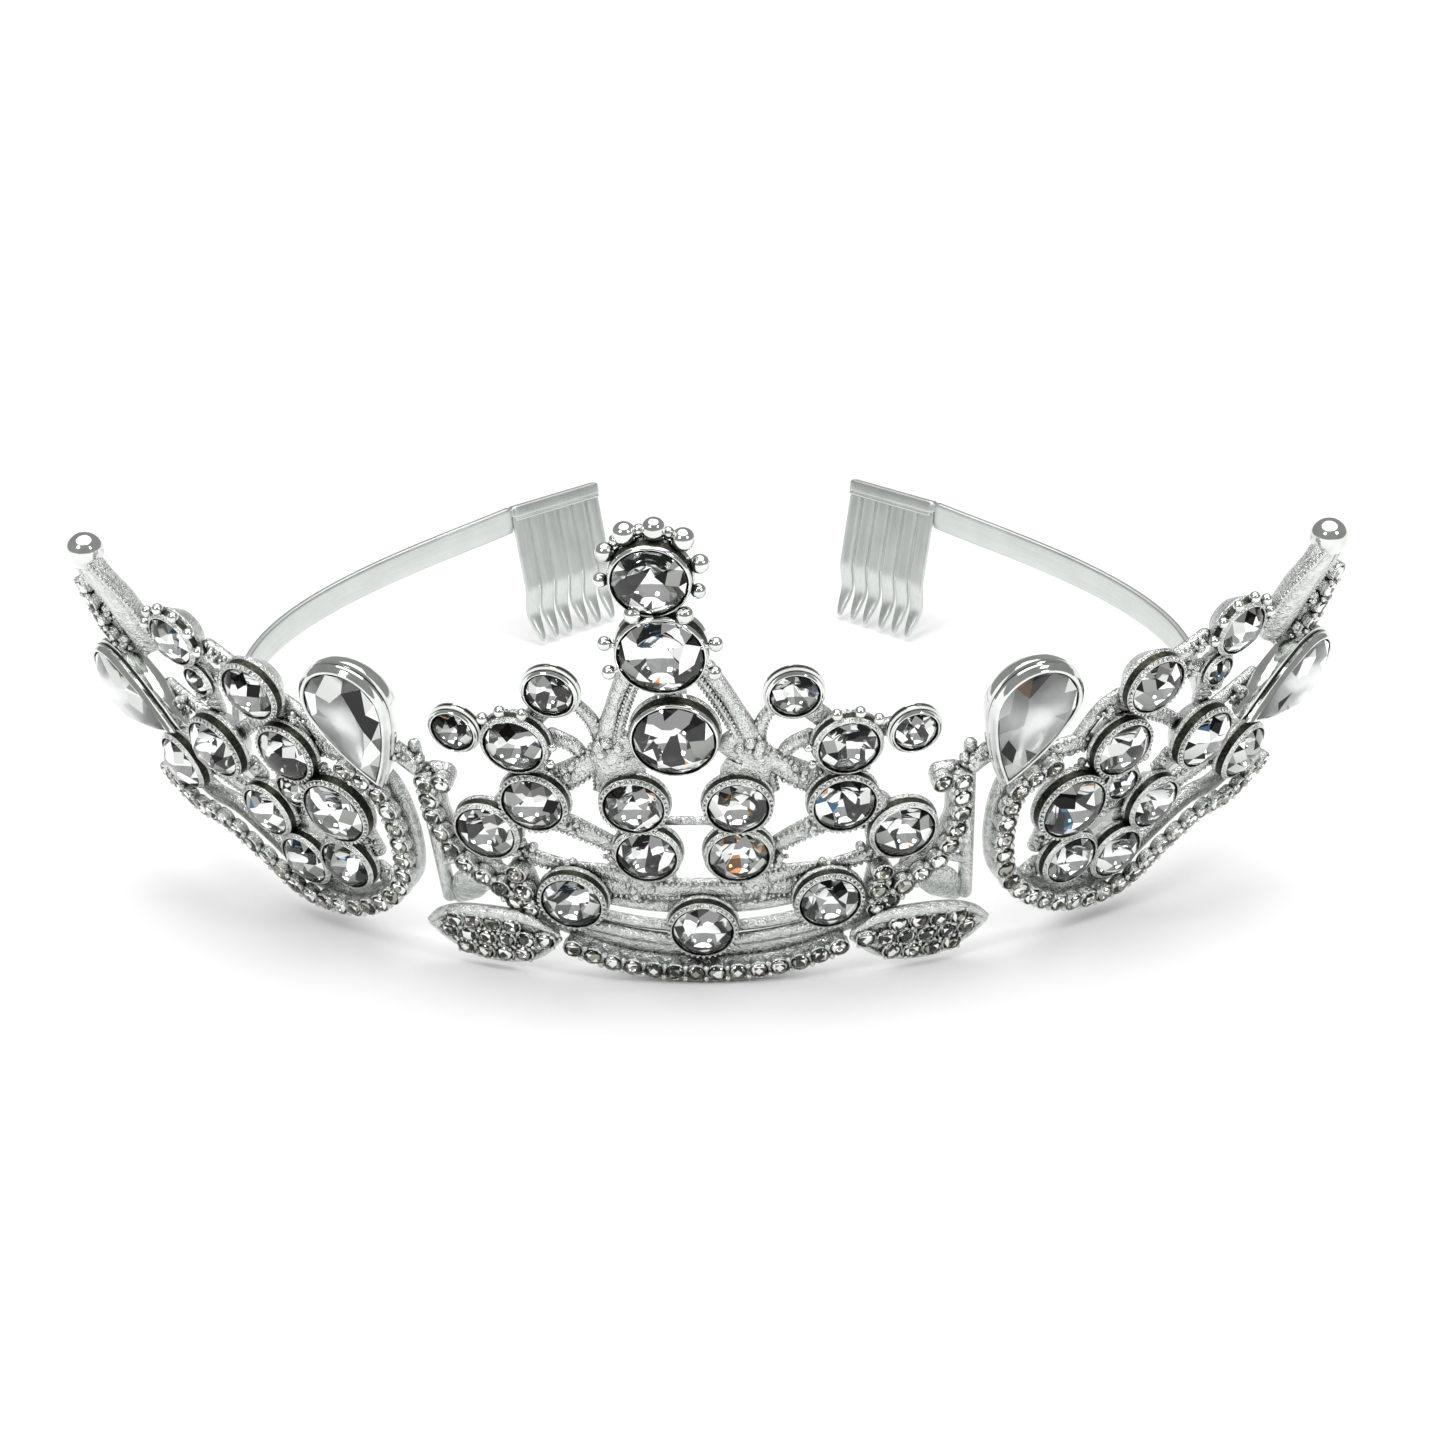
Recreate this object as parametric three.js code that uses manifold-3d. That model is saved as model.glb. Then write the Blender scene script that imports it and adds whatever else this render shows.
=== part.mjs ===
// Bridal tiara: a cast front in five sections, glass stones, two sprung band arms and two hair combs.
// Millimetres, +Z up, front of the tiara towards -Y, wearer's head inside the ring.
// The front is laid out on a leaning, curved panel: "across" runs round it from the middle of the
// front, "up" runs up its slope, and "out" stands away from it, square to its face.

import * as THREE from 'three';
import { mergeVertices } from 'three/addons/utils/BufferGeometryUtils.js';
import Module from 'manifold-3d';

const wasm = await Module();
wasm.setup();

const toRad = THREE.MathUtils.degToRad;

// ---------------------------------------------------------------- sizes that drive everything

// The panel that the front follows. Its foot is an arc of this radius, and its top leans outwards.
const panel = {
  radius: 64,
  lean: 14, // degrees at the front
  extraSideLean: 8, // degrees more at the sides
  sideRise: 7, // how far the foot would climb by a quarter turn
  flare: 6, // how far the foot would stand off the arc by a quarter turn
  flareFrom: 25, // degrees
  sway: 4, // degrees that the tall middle is bent to the left
  swayTo: 42, // degrees round where the bend has died out
};

const gap = 0.3; // between pieces that touch in the real object
const frameBack = -0.8; // back of the castings, from the panel
const rodRadius = 0.9;
const rodSides = 5;
const cupWall = 0.65;
const cupFloor = 0.5;
const rimHeight = 0.3; // of a cup, over the stone's girdle

// Proportions of a cut stone, from its radius.
const crownHeight = 0.32;
const tableRadius = 0.58;
const pavilionDepth = 0.75;
const stoneSides = 8;

// Small stones in rows: their spacing, how far each reaches over half of it, and their height.
const pave = { spacing: 2.1, lap: 0.4, height: 1, sides: 6 };

const band = {
  height: 3.6,
  thickness: 0.9,
  halfWidth: 56.4, // widest half width of the ring, at its sides
  widestAt: -12, // Y of the widest place
  hiddenFrom: 36, // degrees round where an arm starts, behind the wing
  leavesAt: 50, // degrees round where it leaves the panel
  frontHeight: 5.2, // of its middle at the front end
};

const comb = {
  innerEnd: [17.5, 39.6],
  outerEnd: [28, 29.6],
  top: 17, // height over the foot of the panel
  tips: -1.3, // the same for the ends of the teeth, level with the lowest stones of the front
  thickness: 0.8,
  rim: 1.7,
  plateHeight: 7.5,
  lean: 13, // degrees, tips towards the head
  teeth: 6,
  toothWidth: 2.1,
  tipWidth: 0.7,
  bulge: 0.9,
};

// Stones of the middle: place on the panel and diameter.
const spire = {
  crest: { across: 0, up: 48.5, diameter: 7 },
  neck: { across: 0, up: 40.4, diameter: 8 },
  heart: { across: 0, up: 30.4, diameter: 7.8 },
  foot: { across: 0, up: 5.5, diameter: 6 },
};

// Stones that come in pairs, given for the right side.
const pairs = {
  pair_upper: { across: 4.6, up: 21.4, diameter: 5.8 },
  pair_lower: { across: 4.2, up: 15.2, diameter: 5.8 },
  swag_end: { across: 12.3, up: 8.5, diameter: 6 },
  branch_top: { across: 10.2, up: 34.5, diameter: 4.6 },
  branch_crown: { across: 14.4, up: 28.1, diameter: 5.8 },
  branch_side: { across: 20.2, up: 28.6, diameter: 4.2 },
  branch_inner: { across: 13.9, up: 21, diameter: 6 },
  branch_outer: { across: 19.3, up: 16.6, diameter: 6 },
};
const wing = {
  wing_main: { across: 36, up: 15.1, diameter: 7 },
  wing_low: { across: 37.5, up: 7.2, diameter: 5.6 },
  wing_base: { across: 43.4, up: 5.6, diameter: 5.6 },
  wing_inner: { across: 46.6, up: 11, diameter: 5.6 },
  wing_upper: { across: 40.3, up: 21, diameter: 6 },
  wing_top: { across: 42, up: 28.4, diameter: 6 },
  wing_middle: { across: 50.4, up: 18.2, diameter: 6.6 },
  wing_outer: { across: 58.8, up: 12.2, diameter: 6 },
  wing_crown: { across: 50.3, up: 32, diameter: 5.4 },
};
const wingCups = [
  { across: 42.2, up: 14.9, diameter: 3.4 },
  { across: 50.3, up: 26.2, diameter: 3 },
];

// Pear stones: middle of the round end, tilt of the point from straight down, both on the panel.
const pear = { radius: 4.2, length: 13 };
const scrollPear = { across: 30.2, up: 30.4, tilt: -14, out: 3.2 };
const wingPear = { across: 62.6, up: 21.4, tilt: -76, out: 3.2 };

// ---------------------------------------------------------------- the panel

/** A point of the panel. */
function panelPoint(across, up) {
  const turn = across / panel.radius;
  const side = Math.abs(turn);
  const lean = toRad(panel.lean + panel.extraSideLean * Math.sin(side) ** 2);
  const flareShare = (side - toRad(panel.flareFrom)) / toRad(90 - panel.flareFrom);
  const flare = panel.flare * Math.max(0, flareShare) ** 1.3;
  const sway = Math.tan(toRad(panel.sway)) * Math.max(0, 1 - (side / toRad(panel.swayTo)) ** 2);
  const radius = panel.radius + flare + up * Math.sin(lean);
  const angle = turn - (up * sway) / panel.radius;
  const foot = panel.sideRise * (1 - Math.cos(side));
  return new THREE.Vector3(
    radius * Math.sin(angle),
    -radius * Math.cos(angle),
    foot + up * Math.cos(lean),
  );
}

/** The matrix that seats a piece on the panel: its X along the panel, Y up the slope, Z outwards. */
function seat(across, up, out = 0) {
  const step = 0.05;
  const along = panelPoint(across + step, up).sub(panelPoint(across - step, up)).normalize();
  const climb = panelPoint(across, up + step).sub(panelPoint(across, up - step));
  const outwards = new THREE.Vector3().crossVectors(along, climb).normalize();
  const upwards = new THREE.Vector3().crossVectors(outwards, along);
  const place = panelPoint(across, up).addScaledVector(outwards, out);
  return new THREE.Matrix4().makeBasis(along, upwards, outwards).setPosition(place);
}

/** A point that stands off the panel. */
function offPanel(across, up, out) {
  return new THREE.Vector3().setFromMatrixPosition(seat(across, up, out));
}

// ---------------------------------------------------------------- solids

/** A closed geometry as a Manifold. */
function toManifold(geometry) {
  const bare = new THREE.BufferGeometry();
  bare.setAttribute('position', geometry.getAttribute('position'));
  bare.setIndex(geometry.getIndex());
  const merged = mergeVertices(bare, 1e-5);
  return new wasm.Manifold(new wasm.Mesh({
    numProp: 3,
    vertProperties: merged.getAttribute('position').array,
    triVerts: Uint32Array.from(merged.getIndex().array),
  }));
}

/** Geometries joined into one closed solid, with others cut out of it. */
function join(geometries, cuts = []) {
  const whole = geometries.map(toManifold).reduce((sum, next) => sum.add(next));
  const cut = cuts.map(toManifold).reduce((rest, next) => rest.subtract(next), whole);
  const mesh = cut.getMesh();
  const geometry = new THREE.BufferGeometry();
  geometry.setAttribute('position', new THREE.BufferAttribute(mesh.vertProperties, 3));
  geometry.setIndex(new THREE.BufferAttribute(mesh.triVerts, 1));
  return geometry;
}

/** A profile of [radius, height] pairs turned round its axis, which is Z. */
function turned(profile, sides) {
  const points = profile.map(([radius, height]) => new THREE.Vector2(radius, height));
  return new THREE.LatheGeometry(points, sides).rotateX(Math.PI / 2);
}

/** A closed skin over rings of points that follow each other; every ring has as many points. */
function loft(rings) {
  const count = rings[0].length;
  const positions = rings.flat().flatMap((point) => point.toArray());
  const index = [];
  for (let ring = 0; ring < rings.length - 1; ring += 1) {
    for (let corner = 0; corner < count; corner += 1) {
      const next = (corner + 1) % count;
      const here = ring * count;
      const there = here + count;
      index.push(here + corner, here + next, there + next);
      index.push(here + corner, there + next, there + corner);
    }
  }
  const last = (rings.length - 1) * count;
  for (let corner = 1; corner < count - 1; corner += 1) {
    index.push(0, corner + 1, corner);
    index.push(last, last + corner, last + corner + 1);
  }
  const geometry = new THREE.BufferGeometry();
  geometry.setAttribute('position', new THREE.Float32BufferAttribute(positions, 3));
  geometry.setIndex(index);
  return geometry;
}

/** A round rod through points of the panel, each [across, up], with its middle standing off by out. */
function rod(side, route, radius = rodRadius, out = frameBack + radius) {
  const points = route.map(([across, up]) => offPanel(side * across, up, out));
  const path = new THREE.CatmullRomCurve3(points);
  const corners = Array.from({ length: rodSides }, (_, corner) => {
    const angle = (2 * Math.PI * corner) / rodSides;
    return new THREE.Vector2(radius * Math.cos(angle), radius * Math.sin(angle));
  });
  return new THREE.ExtrudeGeometry(new THREE.Shape(corners), {
    steps: points.length === 3 ? 3 : points.length - 1,
    extrudePath: path,
    bevelEnabled: false,
  });
}

/** A bead of the castings. */
function ball(radius) {
  return new THREE.IcosahedronGeometry(radius);
}

/** A bead on the panel. */
function bead(side, across, up, radius, out = 0) {
  return ball(radius).applyMatrix4(seat(side * across, up, out));
}

/** A plate on the panel between two edges of [across, up] or [across, up, stand-off beyond out]. */
function plate(side, lowerEdge, upperEdge, thickness, out) {
  const stations = lowerEdge.map(([across, up, stand = 0], station) => {
    const [upperAcross, upperUp, upperStand = 0] = upperEdge[station];
    const corners = [
      offPanel(side * across, up, out + stand),
      offPanel(side * upperAcross, upperUp, out + upperStand),
      offPanel(side * upperAcross, upperUp, out + upperStand + thickness),
      offPanel(side * across, up, out + stand + thickness),
    ];
    return side > 0 ? corners : corners.reverse();
  });
  return loft(stations);
}

/** How far a stone's girdle stands off the panel, so that its cup is flush with the frame's back. */
function girdleOut(radius) {
  return frameBack + cupFloor + gap + pavilionDepth * radius;
}

/** A round brilliant with its girdle at Z = 0. */
function roundStone(radius) {
  return turned([
    [0, -pavilionDepth * radius],
    [radius, -0.05],
    [radius, 0.05],
    [tableRadius * radius, crownHeight * radius],
    [0, crownHeight * radius],
  ], stoneSides);
}

/** The outside of the cup that holds it, with the same girdle height. */
function roundCup(radius) {
  const outer = radius + gap + cupWall;
  const back = -pavilionDepth * radius - gap - cupFloor;
  return turned([
    [0, back],
    [0.6 * outer, back],
    [outer, -0.3 * radius],
    [outer, rimHeight],
    [0, rimHeight],
  ], stoneSides);
}

/** The hollow of that cup, left clear in front of the stone too. */
function roundHollow(radius) {
  const inner = radius + gap;
  return turned([
    [0, -pavilionDepth * radius - gap],
    [inner, -0.05],
    [inner, crownHeight * radius + 1],
    [0, crownHeight * radius + 1],
  ], stoneSides);
}

/** The outline of a pear whose round end is centred on the origin and whose point is below it. */
function pearOutline(radius, length, grow = 0) {
  const wide = radius + grow;
  const tip = length - radius + 1.4 * grow;
  const points = [];
  for (let corner = 0; corner <= 8; corner += 1) {
    const angle = toRad(-20 + (220 * corner) / 8);
    points.push([wide * Math.cos(angle), wide * Math.sin(angle)]);
  }
  points.push([-0.56 * wide, -0.62 * tip], [0, -tip], [0.56 * wide, -0.62 * tip]);
  return points;
}

/** Rings of one pear outline at several heights and scales, as a closed solid. */
function pearSolid(outline, levels) {
  const centre = [0, -0.2 * pear.length];
  return loft(levels.map(([height, scale]) => outline.map(([x, y]) => new THREE.Vector3(
    centre[0] + scale * (x - centre[0]),
    centre[1] + scale * (y - centre[1]),
    height,
  ))));
}

function pearStone() {
  return pearSolid(pearOutline(pear.radius, pear.length), [
    [-2.2, 0.25],
    [-0.1, 1],
    [0.1, 1],
    [1.3, 0.55],
  ]);
}

/** The outside of a deep cup with the pear's outline, and its hollow. */
function pearCup() {
  const outline = pearOutline(pear.radius, pear.length, gap + cupWall);
  return pearSolid(outline, [[-3.6, 0.8], [-2.2, 1], [0.5, 1]]);
}

function pearHollow() {
  const outline = pearOutline(pear.radius, pear.length, gap);
  return pearSolid(outline, [[-2.7, 0.3], [-0.15, 1], [2.4, 1]]);
}

/** A pear piece seated on one side of the panel. */
function seatPear(side, geometry, place) {
  return geometry
    .rotateZ(side * toRad(place.tilt))
    .applyMatrix4(seat(side * place.across, place.up, place.out));
}

/** A round piece, made from its radius, seated where a stone goes. */
function seatRound(side, make, place) {
  const radius = place.diameter / 2;
  return make(radius).applyMatrix4(seat(side * place.across, place.up, girdleOut(radius)));
}

/** Places along a smooth route of [across, up], the same real distance apart. */
function evenPlaces(side, route, spacing) {
  const path = new THREE.CatmullRomCurve3(route.map(([a, u]) => new THREE.Vector3(a, u, 0)));
  const samples = path.getPoints(40 * route.length);
  const solid = samples.map((point) => panelPoint(side * point.x, point.y));
  const reached = [0];
  for (let sample = 1; sample < solid.length; sample += 1) {
    reached.push(reached[sample - 1] + solid[sample].distanceTo(solid[sample - 1]));
  }
  const whole = reached[reached.length - 1];
  const steps = Math.max(1, Math.round(whole / spacing));
  return Array.from({ length: steps + 1 }, (_, step) => {
    const target = (whole * step) / steps;
    return samples[reached.findIndex((length) => length >= target - 1e-6)];
  });
}

/** A run of small stones, each lapping the next, along a route of [across, up]. */
function stoneRun(side, route, out) {
  const places = evenPlaces(side, route, pave.spacing);
  const radius = pave.spacing / 2 + pave.lap;
  const profile = [[0, 0], [radius, 0.4 * pave.height], [0, pave.height]];
  return join(places.map((place) => (
    turned(profile, pave.sides).applyMatrix4(seat(side * place.x, place.y, out))
  )));
}

// ---------------------------------------------------------------- the cast sections

const sides = { left: -1, right: 1 };

/** Prong balls round a cup: count of them over an arc of the rim. */
function prongBalls(side, place, count, fromDegrees, toDegrees, radius) {
  const reach = place.diameter / 2 + gap + cupWall + 0.3 * radius;
  const stand = girdleOut(place.diameter / 2) - 0.4;
  return Array.from({ length: count }, (_, number) => {
    const angle = toRad(fromDegrees + ((toDegrees - fromDegrees) * number) / (count - 1));
    return ball(radius)
      .translate(side * reach * Math.cos(angle), reach * Math.sin(angle), 0)
      .applyMatrix4(seat(side * place.across, place.up, stand));
  });
}

/** The middle section: spire, arch, pairs, swag of rails and both branches. */
function centreFrame() {
  const pieces = [
    ...Object.values(spire).map((place) => seatRound(1, roundCup, place)),
    ...prongBalls(1, spire.crest, 8, -30, 210, 1.05),
    ...prongBalls(1, spire.neck, 3, -40, 40, 0.8),
    ...prongBalls(1, spire.neck, 3, 140, 220, 0.8),
    rod(1, [[0, 33.5], [0, 37.5]], 1.4),
    rod(1, [[-16.2, 4.6], [-8, 2.6], [0, 1.9], [8, 2.6], [16.2, 4.6]], 1.2),
    rod(1, [[-12, 6], [-6, 4.5], [0, 4.2], [6, 4.5], [12, 6]], 0.6),
    rod(1, [[-11, 8.4], [-5, 7.3], [0, 7.2], [5, 7.3], [11, 8.4]], 0.6),
    rod(1, [[-11, 9.2], [-5, 9.7], [0, 9.8], [5, 9.7], [11, 9.2]], 0.7),
    rod(1, [[-3, 16], [3, 16]], 1),
  ];
  for (const side of Object.values(sides)) {
    pieces.push(
      ...Object.values(pairs).map((place) => seatRound(side, roundCup, place)),
      ...prongBalls(side, pairs.branch_crown, 4, 50, 140, 0.8),
      rod(side, [[3.2, 37.6], [6.4, 33.8], [7.1, 30], [6.3, 27.2]]),
      rod(side, [[3.4, 28.4], [6.3, 27.2], [5, 23.4]], 1.2),
      rod(side, [[6.3, 27.2], [7.4, 30.6], [9.2, 33.4]], 0.8),
      rod(side, [[6.3, 27.2], [9.6, 23.8], [12.4, 21.8]]),
      rod(side, [[10.8, 32.4], [12.6, 29.8]]),
      rod(side, [[5.8, 13.6], [10.2, 16], [14.5, 16.6], [17.4, 16.6]]),
      rod(side, [[5.6, 10], [8.6, 12], [12.6, 12.3], [16.2, 13], [18, 15]], 0.7),
      rod(side, [[4.2, 13], [3.4, 9.8]], 0.8),
      rod(side, [[13.6, 24.4], [14.2, 26.2]]),
      bead(side, 6.3, 27.2, 1.7, 0.6),
      rod(side, [[16.4, 28.3], [19, 28.5]], 1),
    );
  }
  const hollows = [
    ...Object.values(spire).map((place) => seatRound(1, roundHollow, place)),
    ...Object.values(sides).flatMap((side) => (
      Object.values(pairs).map((place) => seatRound(side, roundHollow, place))
    )),
  ];
  return join(pieces, hollows);
}

/** The upright at the edge of the middle section, its scroll, hollow leaf and pear cup. */
const scrollRoute = [
  [22.8, 21.8], [24.6, 21.6], [24.7, 19.2], [24.8, 16.6], [24.2, 14.4], [23.4, 12.2],
  [21.8, 10.6], [19.8, 9.2], [18.2, 7.4],
];
function scrollFrame(side) {
  return join([
    rod(side, scrollRoute, 1),
    rod(side, [[25.8, 24.6], [26.1, 19], [26.5, 12], [27, 4.2]], 0.8),
    rod(side, [[24.6, 21.6], [26, 21.6]], 0.8),
    rod(side, [[25.8, 22.6], [27.6, 24.2]], 1.1, 0.6),
    plate(side, [[17.8, 6.6], [21, 5.6], [26.8, 4.2]], [[18.6, 8.4], [22, 10.4], [26.6, 9.6]], 0.8,
      frameBack + 0.2),
    seatPear(side, pearCup(), scrollPear),
  ], [seatPear(side, pearHollow(), scrollPear)]);
}

/** The small curved leaf in front of the foot of the scroll. */
const leafOut = 1.6;
function leaf(side) {
  const lower = [[14.4, 3.4], [16.8, 0.9], [20, -0.3], [23.6, -0.4], [26.4, 0.7], [28.4, 2.4]];
  const upper = [[14.4, 4], [17, 5.6], [20, 5.9], [23.6, 5.5], [26.4, 4.6], [28.4, 2.9]];
  return plate(side, lower, upper, 0.9, leafOut);
}

/** The wing: stone-set edge, clustered cups, pear cup and the blade that ends in a bead. */
const wingEdge = [
  [33, 21.4], [30.2, 19.8], [29.2, 16.6], [29.2, 12], [30.2, 7.8], [33, 4.4],
  [37, 1.9], [41, 0.9], [45.4, 1.2], [50, 4.6], [54.4, 6.8], [59, 6.6], [63.6, 8.6],
];
function wingFrame(side) {
  return join([
    ...Object.values(wing).map((place) => seatRound(side, roundCup, place)),
    ...wingCups.map((place) => seatRound(side, roundCup, place)),
    ...prongBalls(side, wing.wing_crown, 5, 20, 160, 0.8),
    seatPear(side, pearCup(), wingPear),
    rod(side, wingEdge, 1),
    rod(side, [[33, 21.4], [36.4, 21.6], [39, 21]]),
    rod(side, [[33, 4.4], [35.6, 6], [36.2, 11.6]]),
    rod(side, [[40.6, 23.6], [41.4, 26]]),
    rod(side, [[42.6, 14.6], [45.2, 12.8]]),
    rod(side, [[47.6, 13], [49.4, 15.8]]),
    rod(side, [[44, 28.8], [48, 30.8]]),
    rod(side, [[50.4, 20.6], [50.3, 29.6]]),
    rod(side, [[44, 8], [50, 10.4], [56.4, 11.6]], 1.1),
    rod(side, [[52.4, 16.4], [56.8, 13.6]]),
    rod(side, [[60.4, 14.6], [61.4, 18]]),
    rod(side, [[52.8, 32.2], [56.6, 30], [59.6, 25]], 1.1),
    rod(side, [[41.8, 2], [42.6, 4.2]]),
    rod(side, [[63.4, 8.6], [61, 11]]),
    plate(side, [[61, 27.4], [60.4, 33.6, 1], [59, 40.4, 2.4]],
      [[57.4, 29], [55.6, 34, 1], [56, 39.8, 2.4]], 1.2, frameBack),
    bead(side, 57.5, 40.8, 1.8, 2.2),
  ], [
    ...Object.values(wing).map((place) => seatRound(side, roundHollow, place)),
    ...wingCups.map((place) => seatRound(side, roundHollow, place)),
    seatPear(side, pearHollow(), wingPear),
  ]);
}

// ---------------------------------------------------------------- band arms and combs

/** One arm of the band, from behind the wing round to the comb. */
function bandArm(side) {
  const radius = panel.radius + frameBack - gap - band.thickness / 2;
  const onArc = (degrees) => new THREE.Vector2(
    radius * Math.sin(toRad(degrees)),
    -radius * Math.cos(toRad(degrees)),
  );
  const leaves = onArc(band.leavesAt);
  const leaving = new THREE.Vector2(Math.cos(toRad(band.leavesAt)), Math.sin(toRad(band.leavesAt)));
  const widest = new THREE.Vector2(band.halfWidth, band.widestAt);
  const combDirection = combAlong();
  const end = new THREE.Vector2(...comb.outerEnd).addScaledVector(combDirection, -gap);
  const toSide = new THREE.CubicBezierCurve(
    leaves,
    leaves.clone().addScaledVector(leaving, 10),
    new THREE.Vector2(widest.x, widest.y - 10),
    widest,
  );
  const toComb = new THREE.CubicBezierCurve(
    widest,
    new THREE.Vector2(widest.x, widest.y + 20),
    end.clone().addScaledVector(combDirection, -12),
    end,
  );
  const middle = [0, 1, 2].map((third) => (
    onArc(band.hiddenFrom + ((band.leavesAt - band.hiddenFrom) * third) / 3)
  ));
  const route = [...middle, ...toSide.getPoints(6), ...toComb.getPoints(12).slice(1)];
  const endHeight = comb.top - band.height / 2;
  return loft(route.map((point, number) => {
    const before = route[Math.max(0, number - 1)];
    const after = route[Math.min(route.length - 1, number + 1)];
    const along = after.clone().sub(before).normalize();
    const outwards = new THREE.Vector2(along.y, -along.x).multiplyScalar(band.thickness / 2);
    const share = number / (route.length - 1);
    const height = band.frontHeight + (endHeight - band.frontHeight) * share;
    const corner = (out, up) => new THREE.Vector3(
      side * (point.x + out * outwards.x),
      point.y + out * outwards.y,
      height + (up * band.height) / 2,
    );
    const corners = [corner(-1, -1), corner(-1, 1), corner(1, 1), corner(1, -1)];
    return side > 0 ? corners : corners.reverse();
  }));
}

/** The direction along a comb in plan, on the right side, from its outer end to its inner end. */
function combAlong() {
  return new THREE.Vector2(...comb.innerEnd).sub(new THREE.Vector2(...comb.outerEnd)).normalize();
}

/** The frame of a comb: X along it towards the back, Z up its leaning plate, Y square to the plate. */
function combSeat(side) {
  const flat = combAlong();
  const along = new THREE.Vector3(side * flat.x, flat.y, 0);
  const headwards = new THREE.Vector3(-side * flat.y, flat.x, 0);
  const lean = toRad(comb.lean);
  const upwards = new THREE.Vector3(0, 0, Math.cos(lean)).addScaledVector(headwards, -Math.sin(lean));
  const face = new THREE.Vector3().crossVectors(upwards, along);
  const [x, y] = comb.outerEnd;
  return new THREE.Matrix4().makeBasis(along, face, upwards).setPosition(side * x, y, comb.top);
}

/** A comb: folded rim, plate and curved teeth in one piece. */
function combPiece(side) {
  const width = new THREE.Vector2(...comb.innerEnd).distanceTo(new THREE.Vector2(...comb.outerEnd));
  const drop = (comb.top - comb.tips) / Math.cos(toRad(comb.lean));
  const box = (sizeX, sizeY, top, bottom) => (
    new THREE.BoxGeometry(sizeX, sizeY, top - bottom)
      .translate(width / 2, 0, (top + bottom) / 2)
  );
  const pitch = (width - comb.toothWidth) / (comb.teeth - 1);
  const levels = [0, 0.35, 0.7, 1];
  const tooth = (number) => loft(levels.map((share) => {
    const half = (comb.toothWidth + (comb.tipWidth - comb.toothWidth) * share ** 2) / 2;
    const middle = comb.toothWidth / 2 + number * pitch;
    const thick = comb.thickness / 2;
    const bulge = -side * comb.bulge * Math.sin(Math.PI * share);
    const height = 0.5 - comb.plateHeight - (drop - comb.plateHeight + 0.5) * share;
    return [
      new THREE.Vector3(middle - half, bulge - thick, height),
      new THREE.Vector3(middle - half, bulge + thick, height),
      new THREE.Vector3(middle + half, bulge + thick, height),
      new THREE.Vector3(middle + half, bulge - thick, height),
    ];
  }));
  const pieces = [
    box(width, comb.rim, 0, -comb.rim),
    box(width, comb.thickness, -comb.rim / 2, -comb.plateHeight),
  ];
  for (let number = 0; number < comb.teeth; number += 1) {
    pieces.push(tooth(number));
  }
  return join(pieces).applyMatrix4(combSeat(side));
}

// ---------------------------------------------------------------- the whole tiara

const silver = { color: 0xd9dcda, roughness: 0.2, metalness: 1 };
const satinSilver = { color: 0xc9ccca, roughness: 0.42, metalness: 1 };
const clearGlass = { color: 0xeef3f6, roughness: 0.05, metalness: 0 };
const smokyGlass = { color: 0xcfcabd, roughness: 0.08, metalness: 0 };

const tiara = new THREE.Group();
tiara.name = 'bridal_tiara';

function add(name, geometry, look) {
  const mesh = new THREE.Mesh(geometry, new THREE.MeshStandardMaterial(look));
  mesh.name = name;
  tiara.add(mesh);
}

const bottomRow = [[-13, 2.6], [-8, 0.9], [0, 0.2], [8, 0.9], [13, 2.6]];
const leafRow = [[16.6, 3.4], [18.4, 1.7], [20.2, 3.9], [22.2, 1.7], [24, 3.8], [26, 2.4]];

add('centre_frame', centreFrame(), silver);
add('bottom_stone_row', stoneRun(1, bottomRow, 2.1), smokyGlass);
for (const [name, place] of Object.entries(spire)) {
  add(`stone_${name}`, seatRound(1, roundStone, place), clearGlass);
}
for (const [hand, side] of Object.entries(sides)) {
  add(`scroll_frame_${hand}`, scrollFrame(side), silver);
  add(`leaf_${hand}`, leaf(side), silver);
  add(`wing_frame_${hand}`, wingFrame(side), silver);
  add(`band_arm_${hand}`, bandArm(side), satinSilver);
  add(`comb_${hand}`, combPiece(side), satinSilver);
  add(`scroll_stone_row_${hand}`, stoneRun(side, scrollRoute, 1.5), smokyGlass);
  add(`leaf_stone_row_${hand}`, stoneRun(side, leafRow, leafOut + 0.9 + gap), smokyGlass);
  add(`wing_stone_row_${hand}`, stoneRun(side, wingEdge, 2.3), smokyGlass);
  for (const [name, place] of Object.entries({ ...pairs, ...wing })) {
    add(`stone_${name}_${hand}`, seatRound(side, roundStone, place), clearGlass);
  }
  add(`pear_scroll_${hand}`, seatPear(side, pearStone(), scrollPear), clearGlass);
  add(`pear_wing_${hand}`, seatPear(side, pearStone(), wingPear), clearGlass);
}

// The origin goes to the middle of the tiara's footprint, on the table that it rests on.
const bounds = new THREE.Box3().setFromObject(tiara);
const middle = bounds.getCenter(new THREE.Vector3());
for (const mesh of tiara.children) {
  mesh.geometry.translate(-middle.x, -middle.y, -bounds.min.z);
}

export default tiara;
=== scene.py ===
"""Bridal tiara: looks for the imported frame, laid out as an add-on and run as a script.

Shapes are worked out in millimetres with numpy and reach their meshes in metres, in the tiara's own
frame: front towards -Y, up +Z, standing on Z = 0. The front is laid out on a leaning, curved panel, as
the frame's castings are: "across" runs round it from the middle, "up" climbs it, "out" stands off it.
"""

import math

import bpy
import numpy as np
from mathutils import Matrix, Vector


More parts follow.
